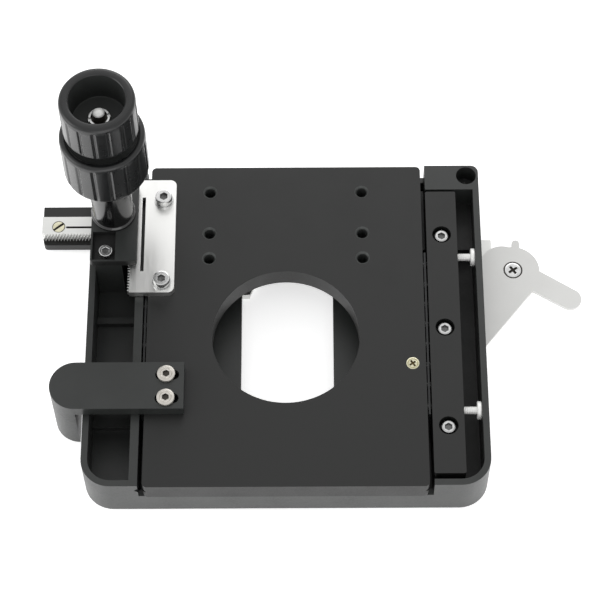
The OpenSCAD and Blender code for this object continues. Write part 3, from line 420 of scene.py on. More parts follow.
def eased_copy(
    node: str,
    finish: Finish,
    width_mm: float,
    inlay: Optional[Finish] = None,
    where: Optional[Callable[[Array, Array], Array]] = None,
    bend: Optional[Callable[[Array], Array]] = None,
) -> None:
    """Stands a copy of a CAD node in its place, with its edges broken as a deburred part's are.

    Args:
        node: the CAD node.
        finish: the copy's finish.
        width_mm: how far each edge is broken.
        inlay: a second finish.
        where: from the faces' middles and normals, which faces have the second finish.
        bend: moves the copy's points, all in millimetres.
    """
    source = FRAME["nodes"][node]
    mesh = source.data.copy()
    mesh.name = f"{node}_eased"
    shape = bmesh.new()
    shape.from_mesh(mesh)
    bmesh.ops.remove_doubles(shape, verts=shape.verts, dist=WELD_M)
    bmesh.ops.dissolve_limit(
        shape, angle_limit=math.radians(FLAT_DEG), verts=shape.verts, edges=shape.edges
    )
    shape.to_mesh(mesh)
    shape.free()
    if bend is not None:
        places = np.empty(len(mesh.vertices) * 3)
        mesh.vertices.foreach_get("co", places)
        mesh.vertices.foreach_set("co", (bend(places.reshape(-1, 3) / MM) * MM).ravel())
        mesh.update()
    mesh.polygons.foreach_set("use_smooth", np.ones(len(mesh.polygons), dtype=bool))
    piece = bpy.data.objects.new(f"{node}_eased", mesh)
    bpy.context.scene.collection.objects.link(piece)
    mesh.materials.clear()
    mesh.materials.append(finish.material())
    count = len(mesh.polygons)
    inlaid = np.zeros(count, dtype=np.int32)
    if inlay is not None and where is not None:
        mesh.materials.append(inlay.material())
        middles, normals = np.empty(count * 3), np.empty(count * 3)
        mesh.polygons.foreach_get("center", middles)
        mesh.polygons.foreach_get("normal", normals)
        inlaid = where(middles.reshape(-1, 3) / MM, normals.reshape(-1, 3)).astype(np.int32)
    mesh.polygons.foreach_set("material_index", inlaid)
    bevel = piece.modifiers.new("broken_edges", "BEVEL")
    bevel.width = width_mm * MM
    bevel.segments = 2
    bevel.limit_method = "ANGLE"
    bevel.angle_limit = math.radians(EDGE_DEG)
    bevel.use_clamp_overlap = True
    level = piece.modifiers.new("flat_faces", "WEIGHTED_NORMAL")
    level.mode = "FACE_AREA"
    level.weight = 100
    level.keep_sharp = True
    settle(piece, node)


def box_mm(node: str) -> tuple[Array, Array]:
    """Returns the low and the high corner of a CAD node's box in millimetres."""
    low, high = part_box(node)
    return np.array(low) / MM, np.array(high) / MM


def between(values: Array, low: float, high: float) -> Array:
    """Returns which values lie between low and high."""
    return (values > low) & (values < high)


def node_solids(node: str) -> list[tuple[float, float, float, float]]:
    """Finds the separate solids of a CAD node from its loose islands.

    Args:
        node: the CAD node.

    Returns:
        X and Y of each solid's middle, its lowest and its highest Z in millimetres, in order of Y.
    """
    mesh = FRAME["nodes"][node].data
    shape = bmesh.new()
    shape.from_mesh(mesh)
    bmesh.ops.remove_doubles(shape, verts=shape.verts, dist=WELD_M)
    left = set(shape.verts)
    solids = []
    while left:
        stack = [left.pop()]
        island = [stack[0]]
        while stack:
            for edge in stack.pop().link_edges:
                for vert in edge.verts:
                    if vert in left:
                        left.remove(vert)
                        island.append(vert)
                        stack.append(vert)
        places = np.array([v.co[:] for v in island]) / MM
        low, high = places.min(0), places.max(0)
        middle = (low + high) / 2
        solids.append((float(middle[0]), float(middle[1]), float(low[2]), float(high[2])))
    shape.free()
    return sorted(solids, key=lambda s: s[1])


def body_of_node(node: str) -> str:
    """Returns the body that a CAD node belongs to."""
    return next(b for b, nodes in RECORD["behaviour"]["bodies"].items() if node in nodes)


def dress(node: str, finish: Finish) -> None:
    """Gives a CAD node that stays shown its finish.

    Args:
        node: the CAD node.
        finish: its finish.
    """
    target = FRAME["nodes"][node]
    if not target.material_slots:
        target.data.materials.append(finish.material())
    for place in target.material_slots:
        place.material = finish.material()
    LOG.info("%s: CAD mesh, %s", node, finish.name)


def settle(piece: bpy.types.Object, node: str) -> None:
    """Lets a new piece stand for a CAD node: puts it on the node's body and hides the node.

    Args:
        piece: the new piece.
        node: the CAD node it stands for.
    """
    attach(piece, body_of_node(node))
    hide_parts(node)
    LOG.info("%s: %d points", piece.name, len(piece.data.vertices))


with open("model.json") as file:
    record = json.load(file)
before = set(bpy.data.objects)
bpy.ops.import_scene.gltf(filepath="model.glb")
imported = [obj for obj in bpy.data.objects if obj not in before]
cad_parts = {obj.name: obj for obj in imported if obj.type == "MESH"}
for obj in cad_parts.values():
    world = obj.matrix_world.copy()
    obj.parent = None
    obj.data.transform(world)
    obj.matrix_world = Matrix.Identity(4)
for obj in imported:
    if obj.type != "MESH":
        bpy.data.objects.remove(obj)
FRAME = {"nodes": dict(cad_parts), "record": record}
CAD_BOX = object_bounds()
RECORD = FRAME["record"]


# -------- the studio


@dataclass
class Studio:
    """Pale floor, soft lights and the photograph's camera.

    Attributes:
        eye_mm: the camera's place.
        yaw: turn of its aim from +Y towards +X, in radians.
        pitch: its aim below the horizon, in radians.
        roll: its turn about its own aim, in radians.
        lens_mm: focal length on a 36 mm sensor.
        floor_gap_mm: how far the floor lies under the lowest point.
        floor_half_mm: half of the floor's side.
        floor_light: the floor's own light, which stands for a lit backdrop.
        sky_light: the even light from all round.
    """

    eye_mm: tuple[float, float, float] = (6.409, -316.661, 608.759)
    yaw: float = -0.0062
    pitch: float = 1.0751
    roll: float = -0.0101
    lens_mm: float = 134.21
    floor_gap_mm: float = 0.05
    floor_half_mm: float = 3000.0
    floor_light: float = 0.55
    sky_light: float = 0.9

    def camera(self) -> None:
        """Places the camera, whose aim is (sin yaw cos pitch, cos yaw cos pitch, -sin pitch)."""
        flat = math.cos(self.pitch)
        ahead, aside = math.cos(self.yaw) * flat, math.sin(self.yaw) * flat
        aim = Vector((aside, ahead, -math.sin(self.pitch)))
        level = Vector((math.cos(self.yaw), -math.sin(self.yaw), 0.0))
        rise = level.cross(aim)
        right = math.cos(self.roll) * level + math.sin(self.roll) * rise
        up = math.cos(self.roll) * rise - math.sin(self.roll) * level
        turned = Matrix((right, up, -aim)).transposed().to_4x4()
        data = bpy.data.cameras.new("photo_camera")
        data.lens = self.lens_mm
        data.sensor_width = 36.0
        data.clip_end = 20.0
        camera = bpy.data.objects.new("photo_camera", data)
        camera.matrix_world = Matrix.Translation(Vector(self.eye_mm) * MM) @ turned
        bpy.context.scene.collection.objects.link(camera)
        bpy.context.scene.camera = camera

    def floor(self) -> None:
        """Lays the pale floor under the lowest point of the object."""
        half = self.floor_half_mm
        low = CAD_BOX[0][2] / MM - self.floor_gap_mm
        sides = ((-half, -half), (half, -half), (half, half), (-half, half))
        corners = np.array([[x, y, low] for x, y in sides])
        mesh = bpy.data.meshes.new("studio_floor")
        mesh.from_pydata((corners * MM).tolist(), [], [(0, 1, 2, 3)])
        floor = bpy.data.objects.new("studio_floor", mesh)
        bpy.context.scene.collection.objects.link(floor)
        material = bpy.data.materials.new("pale_floor")
        material.use_nodes = True
        shader = material.node_tree.nodes["Principled BSDF"]
        looks = {
            "Base Color": linear("#fbfbfb"),
            "Roughness": 0.8,
            "Specular IOR Level": 0.2,
            "Emission Color": linear("#ffffff"),
            "Emission Strength": self.floor_light,
        }
        for name, value in looks.items():
            shader.inputs[name].default_value = value
        mesh.materials.append(material)

    def soft_light(
        self, name: str, place_mm: tuple[float, float, float], size_mm: float, watts: float
    ) -> None:
        """Hangs one square softbox that faces the origin.

        Args:
            name: its name.
            place_mm: its place.
            size_mm: its side.
            watts: its power.
        """
        data = bpy.data.lights.new(name, "AREA")
        data.size = size_mm * MM
        data.energy = watts
        lamp = bpy.data.objects.new(name, data)
        lamp.location = Vector(place_mm) * MM
        lamp.rotation_euler = (-lamp.location).to_track_quat("-Z", "Y").to_euler()
        bpy.context.scene.collection.objects.link(lamp)

    def build(self) -> None:
        """Sets up camera, floor, lights and sky."""
        self.camera()
        self.floor()
        world = bpy.data.worlds.new("studio_sky")
        world.use_nodes = True
        sky = world.node_tree.nodes["Background"]
        sky.inputs["Color"].default_value = (1.0, 1.0, 1.0, 1.0)
        sky.inputs["Strength"].default_value = self.sky_light
        bpy.context.scene.world = world
        self.soft_light("left_softbox", (-900, -150, 500), 600, 2.5)
        self.soft_light("back_softbox", (100, 1300, 850), 900, 5.0)
        self.soft_light("front_softbox", (150, -900, 420), 700, 2.0)
        bpy.context.scene.view_settings.view_transform = "Standard"


# -------- screws


@dataclass(frozen=True)
class Screw:
    """A screw with a turned head and a recess whose outline is a function of the turn angle.

    Attributes:
        head_d: head diameter.
        head_h: head height.
        shank_d: shank diameter.
        edge: rounding of the head's rim.
        recess_depth: depth of the recess.
        turns: columns round the axis.
        ring_r: radius of a shallow ring groove in the head's top.
        ring_deep: depth of that groove, none where it is 0.
    """

    # Steps of the outline and where its recess begins; then shares of a size, and millimetres.
    STEPS, RECESS_STEP = 15, 12
    TIP_SHARE, TIP_CHAMFER = 0.75, 0.3
    CONE_SHARE, CONE_RIM = 0.86, 0.07
    RING_HALF_W = 0.14
    LIP_SHARE, LIP_OVER, LIP_DEEP = 1.06, 0.04, 0.08
    FOOT_SHARE, POINT_SHARE, POINT_DEEP = 0.96, 0.3, 1.12

    head_d: float
    head_h: float
    shank_d: float
    edge: float
    recess_depth: float
    turns: int = 96
    ring_r: float = 2.0
    ring_deep: float = 0.0

    def recess_radius(self, angle: Array) -> Array:
        """Returns the recess's radius at each turn angle; a plain dimple here."""
        return np.full_like(angle, self.head_d * 0.2)

    def rim_radius(self, angle: Array) -> Array:
        """Returns the head's radius at each turn angle; a plain cylinder here."""
        return np.full_like(angle, self.head_d / 2)

    def points(self, seat_z: float, tip_z: float, countersunk: bool = False) -> Array:
        """Works out the surface: an outline of radii and heights turned round the axis.

        The rim's and the recess's radii are functions of the turn angle, the others constants.

        Args:
            seat_z: height of the head's seat, or of a countersunk head's small end.
            tip_z: height of the shank's tip.
            countersunk: whether the head is a cone.

        Returns:
            Points round an upright axis at the origin.
        """
        angle = np.arange(self.turns) * TURN / self.turns
        rim, hole = self.rim_radius(angle), self.recess_radius(angle)
        top = seat_z + self.head_h
        shank, ease = self.shank_d / 2, self.edge
        if countersunk:
            lower = seat_z + self.head_h * self.CONE_SHARE
            under = [(rim * 0.99, lower), (rim, lower + self.head_h * self.CONE_RIM)]
        else:
            under = [(rim - ease, seat_z), (rim, seat_z + ease)]
        columns = [
            (shank * self.TIP_SHARE, tip_z), (shank, tip_z + self.TIP_CHAMFER), (shank, seat_z),
            *under,
            (rim, top - ease), (rim - ease * 0.3, top - ease * 0.3), (rim - ease, top),
            (self.ring_r + self.RING_HALF_W, top),
            (self.ring_r, top - self.ring_deep),
            (self.ring_r - self.RING_HALF_W, top),
            (hole * self.LIP_SHARE + self.LIP_OVER, top),
            (hole, top - self.LIP_DEEP),
            (hole * self.FOOT_SHARE, top - self.recess_depth),
            (hole * self.POINT_SHARE, top - self.recess_depth * self.POINT_DEEP),
        ]
        radius = np.stack([np.broadcast_to(r, angle.shape) for r, _ in columns], 1)
        height = np.array([z for _, z in columns])
        return lathe_points(radius, height, closed=False)

    def faces(self) -> list[tuple[int, ...]]:
        """Returns the faces that go with points()."""
        return lathe_faces(self.turns, self.STEPS, closed=False)

    def recess_faces(self) -> Array:
        """Returns which faces lie in the recess: the last steps' and the end pole's."""
        step = np.tile(np.arange(self.STEPS - 1), self.turns)
        poles = np.repeat([False, True], self.turns)
        return np.concatenate([step >= self.RECESS_STEP, poles])


@dataclass(frozen=True)
class SocketScrew(Screw):
    """A cap screw with a hexagon socket and a knurled head.

    Attributes:
        socket_d: the socket's width across its corners.
        knurls: ridges round the head, none where it is 0.
        knurl_depth: depth between ridges.
    """

    socket_d: float = 2.6
    knurls: int = 32
    knurl_depth: float = 0.06

    def recess_radius(self, angle: Array) -> Array:
        """Returns a hexagon in polar form: apothem / cos(angle from the nearest flat's middle)."""
        apothem = self.socket_d / 2 * math.cos(math.pi / 6)
        return apothem / np.cos((angle + math.pi / 6) % (math.pi / 3) - math.pi / 6)

    def rim_radius(self, angle: Array) -> Array:
        """Returns the head's radius with a cosine ripple for the knurl."""
        return self.head_d / 2 - self.knurl_depth * (0.5 + 0.5 * np.cos(self.knurls * angle))


@dataclass(frozen=True)
class CrossScrew(Screw):
    """A screw with a cross recess.

    Attributes:
        arm_l: half of the cross's span.
        arm_w: width of an arm.
        turn: the cross's turn in radians.
    """

    arm_l: float = 1.2
    arm_w: float = 0.6
    turn: float = 0.35

    def recess_radius(self, angle: Array) -> Array:
        """Returns the union of two crossed bars in polar form."""
        c = np.abs(np.cos(angle - self.turn)) + 1e-6
        s = np.abs(np.sin(angle - self.turn)) + 1e-6
        along = np.minimum(self.arm_l / c, self.arm_w / 2 / s)
        across = np.minimum(self.arm_l / s, self.arm_w / 2 / c)
        return np.maximum(along, across)


def screw_set(
    name: str,
    screw: Screw,
    node: str,
    finish: Finish,
    countersunk: bool = False,
    recess: Finish = PAINTED_RECESS_SHADE,
) -> None:
    """Puts a copy of a screw in the place of each solid of a CAD node, as one piece.

    Args:
        name: the piece's name.
        screw: the screw.
        node: the CAD node, whose solids give each copy its place, its top and its tip.
        finish: the screws' finish.
        countersunk: whether the heads are cones.
        recess: the finish inside the recesses, darker than the heads as painted shade.
    """
    solids = node_solids(node)
    points = np.vstack(
        [
            screw.points(high - screw.head_h, low, countersunk) + np.array([x, y, 0.0])
            for x, y, low, high in solids
        ]
    )
    step = len(points) // len(solids)
    faces = [
        tuple(i + copy * step for i in face)
        for copy in range(len(solids))
        for face in screw.faces()
    ]
    in_recess = np.tile(screw.recess_faces(), len(solids))
    piece = new_piece(name, points, faces, finish, inlay=recess, inlaid=in_recess)
    settle(piece, node)


@dataclass(frozen=True)
class JackScrew:
    """A screw that lies along X, with a rolled thread and a round head at its right end.

    Attributes:
        thread_r: radius over the thread.
        thread_deep: depth of the thread.
        pitch: distance from crest to crest.
        head_r: radius of the head.
        head_t: thickness of the head.
        turns: columns round the axis.
    """

    # Points on each pitch; points of the tip and the head; the tip's share and its bevel.
    PITCH_STEPS, END_STEPS = 8, 5
    TIP_SHARE, TIP_CHAMFER = 0.7, 0.2

    thread_r: float = 1.2
    thread_deep: float = 0.1
    pitch: float = 0.7
    head_r: float = 2.8
    head_t: float = 1.4
    turns: int = 64

    def points(self, left: float, right: float, y: float, z: float) -> Array:
        """Works out the surface: crests as radius = r - deep * (1 - cos(turns of length)) / 2.

        Args:
            left: X of the tip.
            right: X of the head's far face.
            y: Y of the axis.
            z: Z of the axis.

        Returns:
            The places.
        """
        length = right - left - self.head_t
        along = np.linspace(self.TIP_CHAMFER, length, self._thread_steps(left, right))
        thread = self.thread_r - self.thread_deep * (1 - np.cos(TURN * along / self.pitch)) / 2
        head = np.array([(-0.25, 0.0), (0.0, 0.2), (0.0, self.head_t - 0.3), (-0.3, self.head_t)])
        tip = self.thread_r * self.TIP_SHARE
        radius = np.concatenate([[tip], thread, self.head_r + head[:, 0]])
        reach = np.concatenate([[0.0], along, length + head[:, 1]])
        columns = np.broadcast_to(radius, (self.turns, len(radius)))
        upright = lathe_points(columns, reach, closed=False)
        return np.stack([upright[:, 2] + left, upright[:, 0] + y, upright[:, 1] + z], -1)

    def faces(self, left: float, right: float) -> list[tuple[int, ...]]:
        """Returns the faces that go with points() for the same ends."""
        steps = self._thread_steps(left, right) + self.END_STEPS
        return lathe_faces(self.turns, steps, closed=False)

    def _thread_steps(self, left: float, right: float) -> int:
        """Returns how many points the thread has between a tip at left and a head at right."""
        return int((right - left - self.head_t) / self.pitch) * self.PITCH_STEPS


# -------- sub-assemblies


@dataclass
class MountPlateGroup:
    """The mount plate with its rack, index bracket and screws.

    Attributes:
        plate_edge: how far the plate's edges are broken.
        bracket_edge: the same for the index bracket.
        rack_edge: the same for the rack and its washers.
        hole_x: distance of the tapped holes from the middle.
        hole_rows: Y of the tapped holes.
        hole_reach: greatest distance of a hole's wall from its axis.
        tooth_zone: X up to which the rack's faces belong to its teeth.
        slit_zone: X up to which the rack's inner faces belong to its slit and screw holes.
        rack_rows: least and greatest Y of the rack's inner faces.
        flank: least share of Y in the normal of a tooth's flank.
    """

    plate_edge: float = 0.3
    bracket_edge: float = 0.35
    rack_edge: float = 0.06
    hole_x: float = 24.0
    hole_rows: tuple[float, float, float] = (27.5, 36.5, 51.5)
    hole_reach: float = 2.4
    tooth_zone: float = -46.5
    slit_zone: float = -36.0
    rack_rows: tuple[float, float] = (15.0, 53.0)
    flank: float = 0.25

    def in_tapped_hole(self, middles: Array, normals: Array) -> Array:
        """Returns which faces lie in the tapped holes, by their distance from the nearest axis."""
        across = np.abs(np.abs(middles[:, 0]) - self.hole_x)
        along = np.min([np.abs(middles[:, 1] - row) for row in self.hole_rows], axis=0)
        return (np.hypot(across, along) < self.hole_reach) & (np.abs(normals[:, 2]) < LEVEL)

    def in_slit(self, middles: Array, normals: Array) -> Array:
        """Returns which faces of the rack are walls of its slit, screw holes or tooth gaps: painted
        shade.
        """
        x, within = middles[:, 0], between(middles[:, 1], *self.rack_rows)
        slit = between(x, self.tooth_zone, self.slit_zone)
        gap = (x < self.tooth_zone) & (np.abs(normals[:, 1]) > self.flank)
        return (slit | gap) & within & (np.abs(normals[:, 2]) < STEEP)

    def build(self) -> None:
        """Dresses the group's pieces."""
        eased_copy("mount_plate", ANODISED_PLATE, self.plate_edge, CUT_METAL_AND_SHADE, self.in_tapped_hole)
        eased_copy("index_bracket", CAST_ENAMEL, self.bracket_edge)
        # On the rack, the slit walls and tooth gaps get a darker finish as painted shade.
        eased_copy("y_rack", GROUND_ALONG_Y, self.rack_edge, CUT_METAL_AND_SHADE, self.in_slit)
        eased_copy("y_rack_washers", BRIGHT_ZINC, self.rack_edge)
        cap = SocketScrew(
            head_d=5.3, head_h=2.6, shank_d=3.0, edge=0.35, recess_depth=1.3, socket_d=2.7
        )
        # The sockets are painted a grey darker than the heads, as shade.
        screw_set("rack_cap_screws", cap, "y_rack_screws", BRIGHT_ZINC, recess=PAINTED_SOCKET_SHADE)
        low_head = SocketScrew(
            head_d=5.5, head_h=1.1, shank_d=3.0, edge=0.3, recess_depth=0.8, ring_r=1.75,
            ring_deep=0.12, socket_d=2.3, knurls=0, knurl_depth=0.0,
        )
        # The low-head screws' sockets take the default recess finish: painted shade.
        screw_set("index_low_head_screws", low_head, "index_screws", DULL_NICKEL)
        stop = CrossScrew(
            head_d=4.0, head_h=0.8, shank_d=2.4, edge=0.06, recess_depth=0.6, ring_r=1.5,
            ring_deep=0.2, arm_l=1.15, arm_w=0.55, turn=0.6,
        )
        # The cross recess is painted darker brown, partly as shade in it.
        screw_set("stop_cross_screw", stop, "stop_screw", YELLOW_ZINC, True, BROWN_RECESS_SHADE)


@dataclass
class CarriageGroup:
    """The carriage casting with its gib rail, knob bracket and screws.

    Attributes:
        casting_edge: how far the casting's edges are broken.
        rail_edge: the same for the gib rail and the knob bracket.
        pocket_x: least and greatest X of the right pocket's floor.
        pocket_z: least and greatest Z of that floor.
        recess_deep: depth of the knob bracket's recess.
        face_gap: room at both ends of that depth, which takes in its floor and leaves out the top.
    """

    casting_edge: float = 0.45
    rail_edge: float = 0.3
    pocket_x: tuple[float, float] = (53.0, 59.4)
    pocket_z: tuple[float, float] = (-14.6, -9.0)
    recess_deep: float = 2.0
    face_gap: float = 0.1

    def in_right_pocket(self, middles: Array, normals: Array) -> Array:
        """Returns which faces are the narrow right pocket's floor, which gets painted shade."""
        within = between(middles[:, 0], *self.pocket_x) & between(middles[:, 2], *self.pocket_z)
        return within & (normals[:, 2] > STEEP)

    def in_bracket_recess(self, middles: Array, normals: Array) -> Array:
        """Returns which faces of the knob bracket are its recess, between its floor and its rim:
        painted shade.
        """
        rim = box_mm("knob_bracket")[1][2] - self.face_gap
        return between(middles[:, 2], rim - self.recess_deep, rim)

    def jack_screws(self) -> None:
        """Makes the two screws that lie in the right pocket, from the extents of the CAD's."""
        low, high = box_mm("gib_jack_screws")
        left, right = low[0], high[0]
        axis_z = (low[2] + high[2]) / 2
        screw = JackScrew()
        rows = (low[1] + screw.head_r, high[1] - screw.head_r)
        points = np.vstack([screw.points(left, right, row, axis_z) for row in rows])
        one = screw.faces(left, right)
        half = len(points) // 2
        faces = one + [tuple(i + half for i in face) for face in one]
        piece = new_piece("gib_jack_screws_threaded", points, faces, FACED_STEEL)
        settle(piece, "gib_jack_screws")

    def build(self) -> None:
        """Dresses the group's pieces."""
        # The right pocket's floor and the knob bracket's recess get near black painted shade.
        eased_copy("carriage", CAST_ENAMEL, self.casting_edge, PAINTED_POCKET_SHADE, self.in_right_pocket)
        eased_copy("gib_rail", ANODISED_PLATE, self.rail_edge)
        eased_copy(
            "knob_bracket", CAST_ENAMEL, self.rail_edge, PAINTED_POCKET_SHADE, self.in_bracket_recess
        )
        dress("x_way_rod", GROUND_ALONG_X)
        for node in ("left_ball_cage", "right_ball_cage"):
            dress(node, PHOSPHATED_STRIP)
        for node in ("left_way_balls", "right_way_balls"):
            dress(node, BRIGHT_ZINC)
        cap = SocketScrew(
            head_d=4.3, head_h=2.6, shank_d=3.0, edge=0.35, recess_depth=1.3, ring_r=1.7,
            socket_d=2.5,
        )
        # The sockets are painted a grey darker than the heads, as shade.
        screw_set("gib_cap_screws", cap, "gib_rail_screws", BRIGHT_ZINC, recess=PAINTED_SOCKET_SHADE)
        self.jack_screws()
        low = SocketScrew(
            head_d=4.3, head_h=1.8, shank_d=3.0, edge=0.3, recess_depth=1.1, ring_r=1.7,
            socket_d=2.5,
        )
        # The sockets are painted a grey darker than the heads, as shade.
        screw_set("bracket_cap_screws", low, "bracket_screws", BRIGHT_ZINC, recess=PAINTED_SOCKET_SHADE)


@dataclass
class GripKnob:
    """A knob whose grip has nearly flat lands between rounded grooves.

    Attributes:
        name: the piece's name.
        node: the CAD node that it stands for.
        radius: radius over the lands' corners.
        low: height of its underside.
        high: height of its top.
        bore: radius of its bore.
        cup: radius of the cup or recess in its top.
        cup_floor: height of the cup's floor.
        rim_chamfer: width of the bevel inside the cup's rim.
        grooves: number of grooves.
        groove_w: width of a groove.
        groove_deep: depth of a groove.
        flatness: how flat the lands are, from 0, round, to 1, flat.
        phase: turn of the first groove, as a share of one step.
        turns: columns round the axis.
        lip: height of the smooth band above the grooves.
    """

    name: str
    node: str
    radius: float
    low: float
    high: float
    bore: float
    cup: float
    cup_floor: float
    rim_chamfer: float
    grooves: int = 16
    groove_w: float = 1.9
    groove_deep: float = 0.5
    flatness: float = 0.4
    phase: float = 0.54
    turns: int = 576
    lip: float = 1.5

    def grip(self, angle: Array) -> Array:
        """Works out how far the grip lies inside the full radius at each turn angle.

        Flat lands between grooves lie at radius * cos(half step) / cos(angle from the land's
        middle), and a groove adds depth * (1 + cos(turn * x / width)) / 2 at x along the rim from
        its middle, where that is within half of its width.

        Args:
            angle: turn angles in radians.

        Returns:
            The inward offset at each angle.
        """
        step = TURN / self.grooves
        off = (angle / step - self.phase + 0.5) % 1.0 - 0.5
        along = off * step * self.radius
        land = (0.5 - np.abs(off)) * step
        flat = self.radius * (1 - math.cos(step / 2) / np.cos(land)) * self.flatness
        phase = np.clip(along / self.groove_w, -0.5, 0.5) * TURN
        return flat + self.groove_deep * (1 + np.cos(phase)) / 2

    def build(self, x: float, y: float) -> None:
        """Makes the knob: a profile turned round its axis, its rim drawn in by grip().

        Args:
            x: X of its axis.
            y: Y of its axis.
        """
        angle = np.arange(self.turns) * TURN / self.turns
        rim, low, high = self.radius, self.low, self.high
        band = high - self.lip
        profile = rounded(
            [
                (self.bore, low, 0), (rim - 1.2, low, 0.3), (rim - 0.2, low + 0.35, 0.3),
                (rim - 0.05, low + 0.9, 0), (rim, low + 1.5, 0), (rim, low + 2.2, 0),
                (rim, band - 0.9, 0), (rim, band - 0.45, 0), (rim - 0.12, band, 0.2),
                (rim - 0.2, high - 0.5, 0.45), (rim - 1.0, high, 0.35),
                (self.cup + self.rim_chamfer, high, 0.3),
                (self.cup, high - self.rim_chamfer * 0.9, 0.3),
                (self.cup - 0.1, self.cup_floor, 0.4), (self.bore, self.cup_floor, 0),
            ]
        )
        # The grooves fade out over these few millimetres: inwards, up to the band and down.
        r, z = profile[:, 0], profile[:, 1]
        outside = np.clip((r - (rim - 1.4)) / 1.2, 0, 1)
        fade_up = np.clip((band - 0.05 - z) / 0.8, 0, 1) ** 0.5
        fade_down = np.clip((z - low - 0.35) / 1.2, 0, 1) ** 0.5
        radius = r[None] - self.grip(angle)[:, None] * (outside * (fade_up * fade_down))[None]
        points = lathe_points(radius, z, closed=True) + np.array([x, y, 0.0])
        faces = lathe_faces(self.turns, len(r), closed=True)
        # The cup's inner faces get a lighter ABS than the outside: painted light.
        inner = (r < self.cup + 0.05) & (z < high - self.rim_chamfer)
        in_cup = np.tile(inner & np.roll(inner, -1), self.turns)
        piece = new_piece(self.name, points, faces, MOULDED_ABS, 40.0, CUP_ABS_PAINTED_LIGHT, in_cup)
        settle(piece, self.node)


@dataclass
class KnobColumn:
    """The two coaxial knobs with their sleeve and shafts.

    Attributes:
        x: X of the column's axis.
        y: Y of that axis.
        slot_deg: turn of the ring nut's slot.
        slot_half_w: half of that slot's width.
        slot_deep: depth of that slot.
        shaft_edge: how far the inner shaft's edges are broken.
    """

    x: float = -53.8
    y: float = 40.4
    slot_deg: float = 15.0
    slot_half_w: float = 0.55
    slot_deep: float = 0.7
    shaft_edge: float = 0.1

    def on_shaft_side(self, middles: Array, normals: Array) -> Array:
        """Returns the inner shaft's upright faces, all but its ends and their slopes: painted
        shade.
        """
        return (np.abs(normals[:, 2]) < UPRIGHT) & (middles[:, 2] > 0)

    def ring_nut(self) -> None:
        """Makes the slotted ring nut: a raised rim round a sunk middle, painted dark as shade.

        The rim's top drops by the slot's depth where |r sin(turn - slot)| is less than half of
        the slot's width.
        """
        low, high = (corner[2] for corner in box_mm("x_knob_nut"))
        turns, bore, outer, sunk = 288, 1.82, 3.3, high - 1.0
        profile = np.array(
            [
                (bore, low), (outer - 0.02, low), (outer, low + 0.1), (outer, high - 0.3),
                (3.1, high), (2.55, high), (2.4, high - 0.15), (2.35, sunk), (bore, sunk),
            ]
        )
        angle = np.arange(turns)[:, None] * TURN / turns
        radius = np.broadcast_to(profile[:, 0], (turns, len(profile)))
        height = np.broadcast_to(profile[:, 1], radius.shape)
        off = np.abs(radius * np.sin(angle - math.radians(self.slot_deg)))
        slotted = np.minimum(height, high - self.slot_deep)
        height = np.where(off < self.slot_half_w, slotted, height)
        points = lathe_points(radius, height, closed=True) + np.array([self.x, self.y, 0.0])
        faces = lathe_faces(turns, len(profile), closed=True)
        # The sunk middle gets a dark finish as painted shade.
        in_middle = np.tile(np.arange(len(profile)) >= len(profile) - 3, turns)
        piece = new_piece(
            "knob_ring_nut", points, faces, BRIGHT_ZINC, inlay=PAINTED_RECESS_SHADE, inlaid=in_middle
        )
        settle(piece, "x_knob_nut")

    def sleeve(self) -> None:
        """Makes the glossy sleeve with a swept foot: a rounded profile turned round its axis."""
        low, high = (corner[2] for corner in box_mm("column_sleeve"))
        turns, bore, spigot, foot, foot_low = 144, 4.25, 5.5, 7.0, 6.5
        profile = rounded(
            [
                (spigot, low, 0), (spigot, foot_low, 0), (foot, foot_low, 0.15), (foot, 7.2, 0.3),
                (6.35, 7.9, 0.35), (6.3, high - 0.4, 0.1), (6.0, high, 0), (bore, high, 0),
                (bore, low, 0),
            ]
        )
        radius = np.broadcast_to(profile[:, 0], (turns, len(profile)))
        points = lathe_points(radius, profile[:, 1], closed=True) + np.array([self.x, self.y, 0.0])
        faces = lathe_faces(turns, len(profile), closed=True)
        piece = new_piece("column_sleeve_swept", points, faces, GLOSS_ENAMEL)
        settle(piece, "column_sleeve")

    def build(self) -> None:
        """Makes the knobs and dresses what is in them."""
        self.sleeve()
        GripKnob(
            name="lower_grip_knob", node="y_knob", radius=12.95, low=33.8, high=52.2, bore=4.25,
            cup=10.7, cup_floor=50.2, rim_chamfer=0.4,
        ).build(self.x, self.y)
        GripKnob(
            name="upper_grip_knob", node="x_knob", radius=11.35, low=55.3, high=70.5, bore=2.55,
            cup=8.3, cup_floor=59.6, rim_chamfer=0.25, groove_w=1.7, phase=0.83,
        ).build(self.x, self.y)
        dress("y_drive_tube", GROUND_ALONG_Y)
        # The shaft's upright sides get a dark finish as painted shade.
        eased_copy(
            "x_drive_shaft", FACED_STEEL, self.shaft_edge, PAINTED_RECESS_SHADE, self.on_shaft_side
        )
        self.ring_nut()
        dress("knob_spacer", MOULDED_ABS)
        dress("y_knob_grub_screw", BRIGHT_ZINC)


